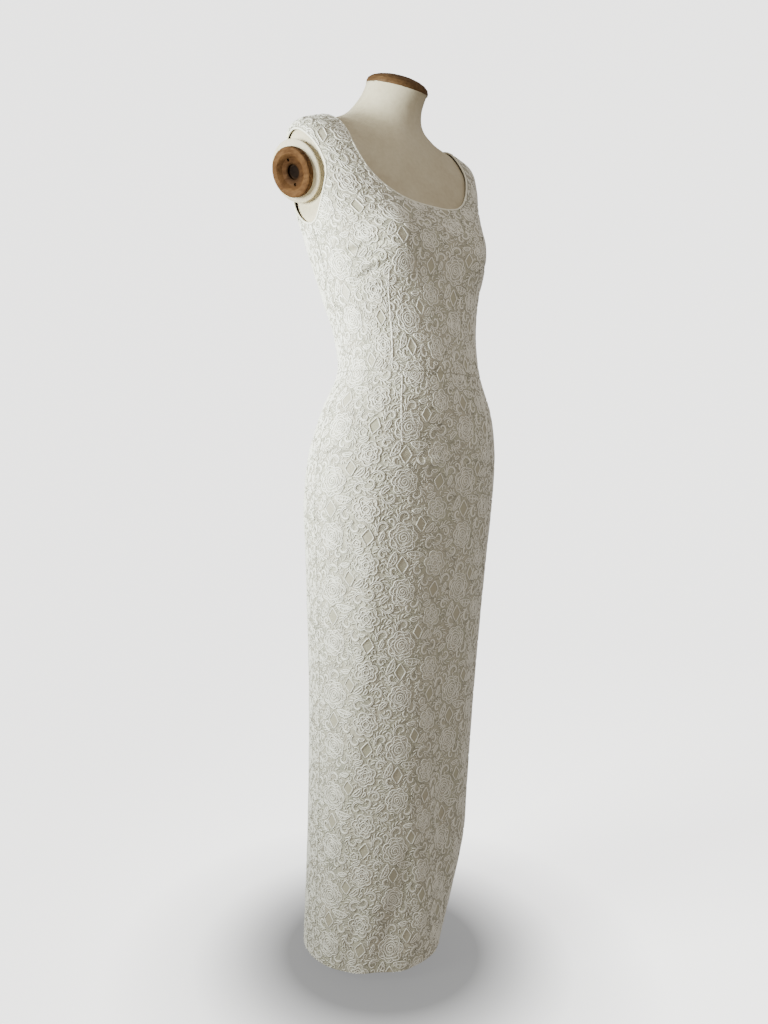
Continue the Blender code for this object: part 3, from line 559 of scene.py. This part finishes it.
def set_flat_places(piece, flat):
    """UV map that holds each corner's place on the flat cloth, in metres."""
    layer = piece.data.uv_layers.new(name="cut")
    corners = np.zeros(len(piece.data.loops), np.int32)
    piece.data.loops.foreach_get("vertex_index", corners)
    layer.data.foreach_set("uv", np.ascontiguousarray(flat[corners].ravel(), np.float32))


def inside(points, outline):
    """Which points lie inside a closed outline, by counting the edges to their right, in parts that fit."""
    ax, ay = outline.T
    bx, by = np.roll(outline, -1, axis=0).T
    level = np.where(by == ay, 1.0, by - ay)
    found = []
    for part in np.array_split(points, len(points) * len(outline) // PAIRS_AT_ONCE + 1):
        x, y = part[:, :1], part[:, 1:]
        crossing = ((ay > y) != (by > y)) & (x < ax + (y - ay) / level * (bx - ax))
        found.append(crossing.sum(axis=1) % 2 == 1)
    return np.concatenate(found)


# Lace repeat: strokes and filled shapes in millimetres

def curve(t, x, y):
    return np.stack([np.broadcast_to(x, t.shape), np.broadcast_to(y, t.shape)], -1)


def scalloped(radius, lobes, depth, turn=0.0):
    t = np.linspace(0, 2 * pi, max(22, int(2 * pi * radius / CORD_STEP)))
    r = radius * (1 - depth + depth * np.abs(np.sin(lobes * t / 2 + turn)) ** 0.7)
    return curve(t, r * np.cos(t), r * np.sin(t))


def rose(size):
    t = np.linspace(0, 1, 26)
    r = size * (0.06 + 0.36 * t)
    spiral = curve(t, r * np.cos(13.5 * t), r * np.sin(13.5 * t))
    edge = scalloped(size, 7, 0.20)
    strokes = [edge, scalloped(size * 0.74, 5, 0.24, 0.6), scalloped(size * 0.52, 4, 0.18, 1.7), spiral]
    for k in range(14):
        a = 2 * pi * k / 14
        s = np.linspace(0, 1, 5)
        lean = a + 0.26 * s * (-1) ** k
        r = size * ((0.80 if k % 2 == 0 else 0.92) - 0.18 * s)
        strokes.append(curve(s, r * np.cos(lean), r * np.sin(lean)))
    return strokes, [edge]


def peony(size):
    lobes = 6 if size > 12 else 5
    edge = scalloped(size, lobes, 0.30)
    strokes = [edge, scalloped(size * 0.24, 4, 0.1)]
    if size > 12:
        strokes.append(scalloped(size * 0.70, 6, 0.34, 0.5))
        strokes.append(scalloped(size * 0.44, 5, 0.28, 0.9))
    if size > 7:
        for k in range(lobes):
            a = 2 * pi * k / lobes
            s = np.linspace(0, 1, 5)
            r = size * (0.30 + 0.38 * s)
            strokes.append(curve(s, r * np.cos(a + 0.3 * s), r * np.sin(a + 0.3 * s)))
    return strokes, [edge]


def leaf(size):
    count = max(9, int(size / 2.2))
    t = np.linspace(0, 1, count)
    belly = size * 0.20 * np.sin(pi * t) ** 0.8 * (1 + 0.14 * np.sin(11 * pi * t))
    bow = size * 0.10 * np.sin(pi * t)
    x = size * (t - 0.5)
    edge = np.concatenate([curve(t, x, bow + belly), curve(t, x, bow - belly)[::-1]])
    strokes = [edge]
    if size > 14:
        strokes.append(curve(t, x, bow)[1:-1])
    if size > 22:
        for k in range(2, count - 3, 3):
            for sign in (1, -1):
                s = np.linspace(0.1, 0.85, 4)
                strokes.append(curve(s, x[k] + 0.10 * size * s, bow[k] + sign * belly[k] * s))
    return strokes, [edge]


def scroll(size):
    t = np.linspace(0, 1, max(14, int(size * 1.6)))
    strokes = []
    for offset in (0.0, 0.17):
        r = size * (0.10 + 0.62 * t ** 1.4 + offset * t)
        turn = 5.6 * (1 - t)
        strokes.append(curve(t, r * np.cos(turn) - 0.2 * size, r * np.sin(turn)))
    if size > 12:
        for k in range(5):
            s = np.linspace(0, 1, 5)
            a = 0.35 + 0.42 * k
            r = size * (0.78 + 0.34 * s)
            strokes.append(curve(s, r * np.cos(a + 0.4 * s) - 0.2 * size, r * np.sin(a + 0.4 * s)))
    return strokes, []


def frond(size):
    t = np.linspace(0, 1, 10)
    stem_x, stem_y = size * (t - 0.5) * 1.5, size * 0.22 * np.sin(2.6 * t)
    strokes = [curve(t, stem_x, stem_y)]
    for k in range(1, 9):
        s = np.linspace(0.12, 1, 5)
        reach = size * 0.42 * sin(pi * (k + 1) / 11)
        x, y = stem_x[k] + reach * (0.9 * s - 0.5 * s * s), stem_y[k] + reach * s
        strokes.append(curve(s, x, y))
    return strokes, []


def window(size):
    t = np.linspace(0, 2 * pi, 26)
    x = 0.70 * size * np.sign(np.cos(t)) * np.abs(np.cos(t)) ** 1.8
    y = size * np.sign(np.sin(t)) * np.abs(np.sin(t)) ** 1.8
    edge = curve(t, x, y)
    return [edge], [edge]


MOTIFS = {"rose": rose, "peony": peony, "leaf": leaf, "scroll": scroll, "frond": frond, "window": window}
FILL_VALUE = {"rose": 0.80, "peony": 0.86, "leaf": 0.72, "window": 0.0}


def tile_cell(points):
    """Cells of the repeat under the points, with the half drop between columns."""
    across = np.floor(points[:, 0] / TILE_WIDTH)
    x = points[:, 0] - across * TILE_WIDTH
    y = (points[:, 1] - across * TILE_HEIGHT / 2) % TILE_HEIGHT
    return np.minimum(x.astype(int), TILE_WIDTH - 1), np.minimum(y.astype(int), TILE_HEIGHT - 1)


def laid(shape, x, y, turn, mirrored):
    c, s = cos(turn), sin(turn)
    moved = shape * (1, -1) if mirrored else shape
    return moved @ np.array([[c, s], [-s, c]]) + (x, y)


def filled_points(outline):
    low, high = outline.min(axis=0), outline.max(axis=0)
    x, y = np.meshgrid(np.arange(low[0], high[0], 0.6), np.arange(low[1], high[1], 0.6))
    grid = np.stack([x.ravel(), y.ravel()], -1)
    return grid[inside(grid, outline)]


def lace_repeat():
    """Strokes of one repeat and a raster of how dense its ground is."""
    rng = np.random.default_rng(7)
    taken = np.zeros((TILE_WIDTH, TILE_HEIGHT), bool)
    dense = np.full((TILE_WIDTH, TILE_HEIGHT), GROUND_DENSITY)
    strokes = []
    near = [(a, b) for a in range(-3, 4) for b in range(-3, 4) if a * a + b * b <= 7]

    def put(kind, x, y, turn, size, mirrored, weight):
        shapes, fills = MOTIFS[kind](size)
        shapes = [laid(s, x, y, turn, mirrored) for s in shapes]
        points = np.concatenate(shapes)
        if taken[tile_cell(points)].any():
            return
        for a, b in near:
            taken[tile_cell(points + (a * 0.9, b * 0.9))] = True
        for fill in fills:
            covered = filled_points(laid(fill, x, y, turn, mirrored))
            dense[tile_cell(covered)] = FILL_VALUE[kind]
            if kind == "window":
                taken[tile_cell(covered)] = True
        strokes.extend((s, weight) for s in shapes)

    for kind, x, y, turn, size in HEADS:
        put(kind, x, y, radians(turn), size, False, HEAD_WEIGHT)
    for kind, size, tries in SPRAYS:
        for _ in range(tries):
            x, y, turn = rng.uniform(0, TILE_WIDTH), rng.uniform(0, TILE_HEIGHT), rng.uniform(0, 2 * pi)
            put(kind, x, y, turn, size * rng.uniform(0.85, 1.15), rng.random() < 0.5, SPRAY_WEIGHT)
    for _ in range(ARC_TRIES):
        x, y, turn = rng.uniform(0, TILE_WIDTH), rng.uniform(0, TILE_HEIGHT), rng.uniform(0, 2 * pi)
        size = rng.uniform(2.2, 4.2)
        t = np.linspace(0.3, rng.uniform(3.2, 5.6), 7)
        arc = laid(curve(t, size * np.cos(t), size * 0.75 * np.sin(t)), x, y, turn, False)
        if not taken[tile_cell(arc)].any():
            for a, b in near:
                taken[tile_cell(arc + (a * 0.8, b * 0.8))] = True
            strokes.append((arc, ARC_WEIGHT))
    return strokes, dense


STROKES, DENSE = lace_repeat()


def dense_at(flat):
    """Density of the lace at places on the flat cloth, in metres, softened over the raster's cells."""
    total = 0
    for a, b in ((0, 0), (0.8, 0), (-0.8, 0), (0, 0.8), (0, -0.8)):
        total = total + DENSE[tile_cell(flat * 1000 + (a, b))]
    return total / 5


# Flat places on the cloth

ARC_ANGLES = np.linspace(-200, 200, 801)
ARC_STEPS = np.linalg.norm(np.diff(figure_point(ARC_ANGLES, down_at("hip")), axis=0), axis=1)
ARC_LENGTHS = np.concatenate([[0], np.cumsum(ARC_STEPS)])
ARC_LENGTHS = ARC_LENGTHS - np.interp(-90, ARC_ANGLES, ARC_LENGTHS)


def flat_place(angle, down):
    return np.stack([np.interp(angle, ARC_ANGLES, ARC_LENGTHS), down], -1)


def strokes_in(outline):
    """Lace strokes over a panel, cut off at its outline, as places of angle and down."""
    flat = flat_place(outline[:, 0], outline[:, 1]) * 1000
    low, high = flat.min(axis=0), flat.max(axis=0)
    runs = []
    for i in range(int(low[0] // TILE_WIDTH) - 1, int(high[0] // TILE_WIDTH) + 2):
        drop = i * TILE_HEIGHT / 2
        for j in range(int((low[1] - drop) // TILE_HEIGHT) - 1, int((high[1] - drop) // TILE_HEIGHT) + 2):
            shift = (i * TILE_WIDTH, drop + j * TILE_HEIGHT)
            runs.extend((stroke + shift, weight) for stroke, weight in STROKES)
    points = np.concatenate([run for run, _ in runs])
    place = np.stack([np.interp(points[:, 0] / 1000, ARC_LENGTHS, ARC_ANGLES), points[:, 1] / 1000], -1)
    kept = inside(place, outline)
    cut, at = [], 0
    for run, weight in runs:
        held, where = kept[at:at + len(run)], place[at:at + len(run)]
        at += len(run)
        if held.all():
            cut.append((where, weight))
            continue
        edges = np.flatnonzero(np.diff(np.concatenate([[0], held.astype(int), [0]])))
        cut.extend((where[a:b], weight) for a, b in zip(edges[::2], edges[1::2]) if b - a > 1)
    return cut


def cord_mesh(runs, width, rise):
    """Low ridges over the cloth along runs of places, three points across."""
    places = np.concatenate([run for run, _ in runs])
    weights = np.concatenate([np.full(len(run), weight) for run, weight in runs])
    points = cloth_point(places[:, 0], places[:, 1])
    normal = outward(places[:, 0], places[:, 1])
    starts = np.cumsum([0] + [len(run) for run, _ in runs])
    before = np.maximum(np.arange(len(points)) - 1, np.repeat(starts[:-1], np.diff(starts)))
    after = np.minimum(np.arange(len(points)) + 1, np.repeat(starts[1:] - 1, np.diff(starts)))
    along = points[after] - points[before]
    across = np.cross(normal, along)
    across = across / np.maximum(np.linalg.norm(across, axis=1, keepdims=True), 1e-9)
    half = (width / 2 * weights)[:, None]
    sunk = points - normal * CORD_SINK
    crest = points + normal * (rise * weights)[:, None]
    section = np.stack([sunk - across * half, crest, sunk + across * half], 1)
    last = np.zeros(len(points), bool)
    last[starts[1:] - 1] = True
    first = np.flatnonzero(~last)
    one = np.stack([first * 3, first * 3 + 1, first * 3 + 4, first * 3 + 3], -1)
    faces = np.concatenate([one, one + 1])
    return section.reshape(-1, 3), faces.tolist()


# Panels

def neckline(table, turn):
    turns, downs = np.array(table).T
    return smooth(turns, downs, turn)


def armhole_curve():
    return smooth(np.arange(len(ARMHOLE)), ARMHOLE, np.linspace(0, len(ARMHOLE) - 1, ARMHOLE_STEPS + 1))


def half_outline(table, arm_column, step):
    """One half's outline from the neckline's centre over shoulder, armhole and side to the waist."""
    arm = armhole_curve()
    neck_turn = np.linspace(0, 90, int(NECK_RUN / step) + 1)
    neck = np.stack([neck_turn, neckline(table, neck_turn)], -1)
    rows = np.linspace(0, 1, int(SHOULDER_RUN / step) + 2)[1:-1]
    shoulder = np.stack([np.full(len(rows), 90.0), neck[-1, 1] + (arm[0, 0] - neck[-1, 1]) * rows], -1)
    armhole = np.stack([90 - arm[:, arm_column], arm[:, 0]], -1)
    waist = down_at("waist") - HALF_SEAM
    seam_down = np.linspace(arm[-1, 0], waist, int(SIDE_RUN / step))[1:]
    seam = np.stack([np.full(len(seam_down), 90.0), seam_down], -1)
    bottom = np.stack([neck_turn[-2::-1], np.full(len(neck_turn) - 1, waist)], -1)
    return np.concatenate([neck, shoulder, armhole, seam, bottom])


def clear_of_seams(turn, centre_gap):
    return np.clip(turn, centre_gap, 90 - SIDE_GAP)


def front_outline(step):
    outline = half_outline(NECKLINE_FRONT, 1, step)
    turn, down = clear_of_seams(outline[:, 0], 0), outline[:, 1]
    left = np.stack([-90 + turn, down], -1)
    right = np.stack([-90 - turn, down], -1)[-2:0:-1]
    return np.concatenate([left, right])


def back_outline(side, step):
    outline = half_outline(NECKLINE_BACK, 2, step)
    waist = down_at("waist") - HALF_SEAM
    seam = np.linspace(neckline(NECKLINE_BACK, 0.0), waist, int(BACK_RUN / step))[-2:0:-1]
    turn = clear_of_seams(np.append(outline[:, 0], np.zeros(len(seam))), CENTRE_GAP)
    return np.stack([90 - side * turn, np.append(outline[:, 1], seam)], -1)


def near_outline(points, outline, reach):
    """Which points lie closer to the outline's own points than the reach."""
    close = np.zeros(len(points), bool)
    for part in np.array_split(outline, len(outline) // 40 + 1):
        apart = points[:, None] - part
        close |= ((apart * apart).sum(-1) < reach * reach).any(axis=1)
    return close


def filled_outline(outline, step):
    """Places and triangles of an even net over an outline of angle and down."""
    scale = (radians(1) * FIGURE_RADIUS, 1)
    flat = outline * scale
    low, high = flat.min(axis=0), flat.max(axis=0)
    rows = np.arange(low[1], high[1], step * sin(radians(60)))
    columns = np.arange(low[0], high[0], step)
    net = np.array([(x + (i % 2) * step / 2, y) for i, y in enumerate(rows) for x in columns])
    net = net[inside(net, flat)]
    net = net[~near_outline(net, flat, step * 0.6)]
    points = [Vector(p) for p in np.concatenate([flat, net])]
    found = delaunay_2d_cdt(points, [], [list(range(len(flat)))], 1, 1e-7)
    return np.array([tuple(c) for c in found[0]]) / scale, found[2]


def skirt_grid(low, high, step):
    waist, hem = down_at("waist") + HALF_SEAM, DOWNS[-1]
    columns = int(SKIRT_DEGREE * (high - low) / step) + 1
    rows = int((hem - waist) / step) + 1
    down, angle = np.meshgrid(np.linspace(waist, hem, rows), np.linspace(low, high, columns), indexing="ij")
    return angle, down


def dress_panel(name, places, faces, outline, lace, cord):
    """Outer lace of one panel with the cords over it, and its places on the flat cloth."""
    points = cloth_point(places[:, 0], places[:, 1])
    shell = add_piece(name + "_lace", points, faces, lace, (name,))
    flat = flat_place(places[:, 0], places[:, 1])
    set_values(shell, "dense", dense_at(flat))
    set_flat_places(shell, flat)
    points, quads = cord_mesh(strokes_in(outline), CORD_WIDTH, CORD_RISE)
    cords = add_piece(name + "_cords", points, quads, cord)
    # The edge value is 1 on the flanks, where painted shade darkens the cord, and 0 on the crest
    set_values(cords, "edge", np.tile((1.0, 0.0, 1.0), len(points) // 3))


def lining_grid(name, angle, down, satin):
    """Inner face of a skirt panel with its edges turned out to the lace."""
    angle, down = np.pad(angle, 1, mode="edge"), np.pad(down, 1, mode="edge")
    inset = np.full(angle.shape, LINING_EDGE)
    inset[1:-1, 1:-1] = WALL
    points = cloth_point(angle, down, inset).reshape(-1, 3)
    add_piece(name + "_lining", points, grid_quads(*angle.shape).tolist(), satin)


def skirt_panel(name, low, high, lace, cord, satin):
    angle, down = skirt_grid(low, high, CLOTH_STEP)
    places = np.stack([angle.ravel(), down.ravel()], -1)
    outline = np.array([(low, down[0, 0]), (high, down[0, 0]), (high, down[-1, 0]), (low, down[-1, 0])])
    dress_panel(name, places, grid_quads(*angle.shape).tolist(), outline, lace, cord)
    lining_grid(name, *skirt_grid(low, high, LINING_STEP), satin)


def bodice_panel(name, outline, lace, cord, satin):
    places, faces = filled_outline(outline, CLOTH_STEP * 1.05)
    dress_panel(name, places, faces, outline, lace, cord)
    places, faces = filled_outline(outline, LINING_STEP)
    points = cloth_point(places[:, 0], places[:, 1], WALL)
    add_piece(name + "_lining", points, faces, satin)


def binding(name, angle, down, made, closed):
    """Narrow folded strip that runs along a raw edge, just past it, with the cloth on its right."""
    outer = cloth_point(angle, down)
    normal = outward(angle, down)
    if closed:
        ahead, behind = np.roll(outer, -1, axis=0) - outer, outer - np.roll(outer, 1, axis=0)
    else:
        steps = np.diff(outer, axis=0)
        ahead, behind = np.concatenate([steps, steps[-1:]]), np.concatenate([steps[:1], steps])
    past_ahead, past_behind = unit(np.cross(normal, ahead)), unit(np.cross(normal, behind))
    past = unit(past_ahead + past_behind)
    past = past / np.sum(past * past_ahead, -1, keepdims=True)
    section = [outer + past * (PIECE_GAP + BINDING_WIDTH * across) + normal * lift
               for across, lift in BINDING_SECTION]
    points = np.stack(section, 1)
    if closed:
        points = np.concatenate([points, points[:1]])
    faces = grid_quads(*points.shape[:2], True).tolist()
    add_piece(name + "_fold", points.reshape(-1, 3), faces, made, (name,))


def side_angle(side, turn):
    return -turn if side > 0 else 180 + turn


def armhole_binding(side, made):
    arm = armhole_curve()
    turn = np.concatenate([arm[:, 1], -arm[-2:0:-1, 2]])
    down = np.concatenate([arm[:, 0], arm[-2:0:-1, 0]])
    angle = side_angle(side, turn)
    if side < 0:
        angle, down = angle[::-1], down[::-1]
    binding("armhole_binding_" + SIDE_NAMES[side], angle, down, made, True)


def neckline_binding(made):
    front = np.linspace(0, 90, 80)
    back = np.linspace(0, 90, 60)
    back[0] = CENTRE_GAP
    angle = np.concatenate([90 + back, 270 - front[-2::-1], 270 + front[1:], 450 - back[-2::-1]])
    back_down = neckline(NECKLINE_BACK, back)
    front_down = neckline(NECKLINE_FRONT, front)
    down = np.concatenate([back_down, front_down[-2::-1], front_down[1:], back_down[-2::-1]])
    binding("neckline_binding", angle, down, made, False)


def dart_lines(cord):
    runs = []
    for from_angle, from_down, to_angle, to_down in DARTS:
        t = np.linspace(0, 1, 40)
        runs.append((np.stack([from_angle + (to_angle - from_angle) * t,
                               from_down + (to_down - from_down) * t], -1), 1.0))
    points, faces = cord_mesh(runs, DART_WIDTH, CORD_RISE)
    piece = add_piece("dart_edges", points, faces, cord)
    # Painted shade on one flank only of each dart's ridge
    set_values(piece, "edge", np.tile((0.0, 0.0, 1.0), len(points) // 3))


# The form

def closed_rows(rows):
    """Points and faces of a body over rings, with a fan at each end."""
    count = len(rows[0])
    points = np.concatenate(rows + [rows[0].mean(axis=0)[None], rows[-1].mean(axis=0)[None]])
    faces = grid_quads(len(rows), count, True).tolist()
    first, last = len(rows) * count, (len(rows) - 1) * count
    for j in range(count):
        k = (j + 1) % count
        faces.append((first, j, k))
        faces.append((first + 1, last + k, last + j))
    return points, faces


def torso(made):
    last = np.interp(-TORSO_END_Z, -column("side_z"), DOWNS)
    upper = np.linspace(DOWNS[0] + 0.001, 0.34, FORM_UPPER_ROWS)
    downs = np.concatenate([upper, np.linspace(0.345, last, FORM_LOWER_ROWS)])
    angle = np.arange(FORM_COLUMNS) * 360 / FORM_COLUMNS
    rim = figure_point(angle, DOWNS[0])
    ring = dict(zip(FIGURE_COLUMNS, FIGURE["neck_rim"]))
    slope = (ring["back_z"] - ring["front_z"]) / (ring["back_y"] - ring["front_y"])
    rim[:, 2] = ring["side_z"] + slope * (rim[:, 1] - ring["side_y"])
    rows = [rim] + [form_point(angle, np.full(FORM_COLUMNS, d)) for d in downs]
    points, faces = closed_rows(rows)
    add_piece("form_torso_canvas", points, faces, made, ("form_torso",))


def arm_stump(side, made):
    centre, out, forward, up = arm_frame(side)
    t = 2 * pi * np.arange(STUMP_COLUMNS)[:, None] / STUMP_COLUMNS
    radii, heights = np.array(STUMP_RINGS).T
    rows = []
    for height in np.linspace(heights[0], 0, STUMP_ROWS):
        radius = smooth(heights, radii, height)
        rows.append(centre + out * height + (up * np.cos(t) + forward * np.sin(t)) * radius)
    points, faces = closed_rows(rows)
    name = "form_arm_stump_" + SIDE_NAMES[side]
    add_piece(name + "_canvas", points, faces, made, (name,))


def finish_nodes(materials):
    for name, made in materials.items():
        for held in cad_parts[name].material_slots:
            held.material = made


# Stage, lights and camera

def stage():
    """Paper sweep that glows evenly, with a soft pool of shade under the hem."""
    made, tree, shader = shader_of("stage_paper", PAPER_GREY, 0.9)
    place = tree.nodes.new("ShaderNodeTexCoord")
    reach = node(tree, "ShaderNodeVectorMath")
    reach.operation = "DISTANCE"
    reach.inputs[1].default_value = SHADE_MIDDLE
    tree.links.new(place.outputs["Object"], reach.inputs[0])
    shade = ramp(tree, reach.outputs["Value"], greys(*SHADE_STOPS))
    tree.links.new(shade, shader.inputs["Emission Color"])
    tree.links.new(multiply(tree, shade, shade, 1.0), shader.inputs["Base Color"])
    shader.inputs["Emission Strength"].default_value = PAPER_GLOW
    bend, radius = SWEEP["bend"], SWEEP["radius"]
    profile = [(SWEEP["front"], 0.0), (bend, 0.0)]
    for k in range(1, 13):
        a = radians(7.5 * k)
        profile.append((bend + radius * sin(a), radius - radius * cos(a)))
    profile.append((bend + radius, SWEEP["top"]))
    turn = radians(CAMERA["turn"])
    away, aside = np.array([-sin(turn), cos(turn), 0]), np.array([cos(turn), sin(turn), 0])
    half = SWEEP["half_width"]
    points = [away * y + aside * x + (0, 0, z) for y, z in profile for x in (-half, half)]
    placed = mesh_object("stage_sweep", points, grid_quads(len(profile), 2).tolist(), made)
    placed.visible_diffuse = False
    placed.visible_glossy = False


def area_light(name, place, target, side, power, colour, spread):
    data = bpy.data.lights.new(name, "AREA")
    data.shape = "RECTANGLE"
    data.spread = radians(spread)
    data.size = data.size_y = side
    data.energy = power
    data.color = colour
    placed = bpy.data.objects.new(name, data)
    placed.location = place
    placed.rotation_euler = (Vector(target) - Vector(place)).to_track_quat("-Z", "Y").to_euler()
    bpy.context.scene.collection.objects.link(placed)


def lights():
    for name, values in LIGHTS.items():
        area_light(name, *values)
    world = bpy.data.worlds.new("studio")
    bpy.context.scene.world = world
    world.use_nodes = True
    world.node_tree.nodes["Background"].inputs["Color"].default_value = ROOM_COLOUR
    world.node_tree.nodes["Background"].inputs["Strength"].default_value = ROOM_STRENGTH


def camera():
    data = bpy.data.cameras.new("camera")
    data.sensor_width = 36.0
    data.lens = CAMERA["lens"]
    placed = bpy.data.objects.new("camera", data)
    turn, pitch, roll = radians(CAMERA["turn"]), radians(CAMERA["pitch"]), radians(CAMERA["roll"])
    right = Vector((cos(turn), sin(turn), 0))
    ahead = Vector((-sin(turn) * cos(pitch), cos(turn) * cos(pitch), -sin(pitch)))
    up = right.cross(ahead)
    right, up = right * cos(roll) + up * sin(roll), up * cos(roll) - right * sin(roll)
    back = -ahead
    place = Vector(CAMERA["place"])
    placed.matrix_world = Matrix(((right.x, up.x, back.x, place.x), (right.y, up.y, back.y, place.y),
                                  (right.z, up.z, back.z, place.z), (0, 0, 0, 1)))
    bpy.context.scene.collection.objects.link(placed)
    bpy.context.scene.camera = placed


def main():
    camera()
    lights()
    stage()
    lace, cord = lace_material(), cord_material()
    satin = satin_material("satin_lining", LINING_SATIN)
    edge = satin_material("binding_satin", BINDING_SATIN)
    canvas = canvas_material()
    torso(canvas)
    bodice_panel("bodice_front", front_outline(CLOTH_STEP), lace, cord, satin)
    skirt_panel("skirt_front", -180 + SIDE_GAP, -SIDE_GAP, lace, cord, satin)
    for side, name in SIDE_NAMES.items():
        low, high = (SIDE_GAP, 90 - CENTRE_GAP) if side > 0 else (90 + CENTRE_GAP, 180 - SIDE_GAP)
        bodice_panel("bodice_back_" + name, back_outline(side, CLOTH_STEP), lace, cord, satin)
        skirt_panel("skirt_back_" + name, low, high, lace, cord, satin)
        armhole_binding(side, edge)
        arm_stump(side, canvas)
        centre, out = arm_frame(side)[:2]
        ring_wood = wood_material("ring_wood_" + name, *RING_WOOD, 0.55, centre + out * 0.001)
        finish_nodes({"form_arm_ring_" + name: ring_wood})
    neckline_binding(edge)
    dart_lines(cord)
    finish_nodes({
        "zip_tape": satin_material("zip_tape_weave", TAPE_COLOUR, 1400.0),
        "zip_slider": metal_material("zip_slider_metal", SLIDER_METAL, 0.30, 1.0),
        "zip_pull": metal_material("zip_pull_metal", PULL_METAL, 0.28, 1.0),
        "form_neck_cap": wood_material("cap_wood_stain", *CAP_WOOD, 0.58),
        "form_pole": metal_material("pole_steel", POLE_STEEL, 0.40, 0.7),
        "form_base": metal_material("base_paint", BASE_PAINT, 0.45, 0.2),
    })


main()
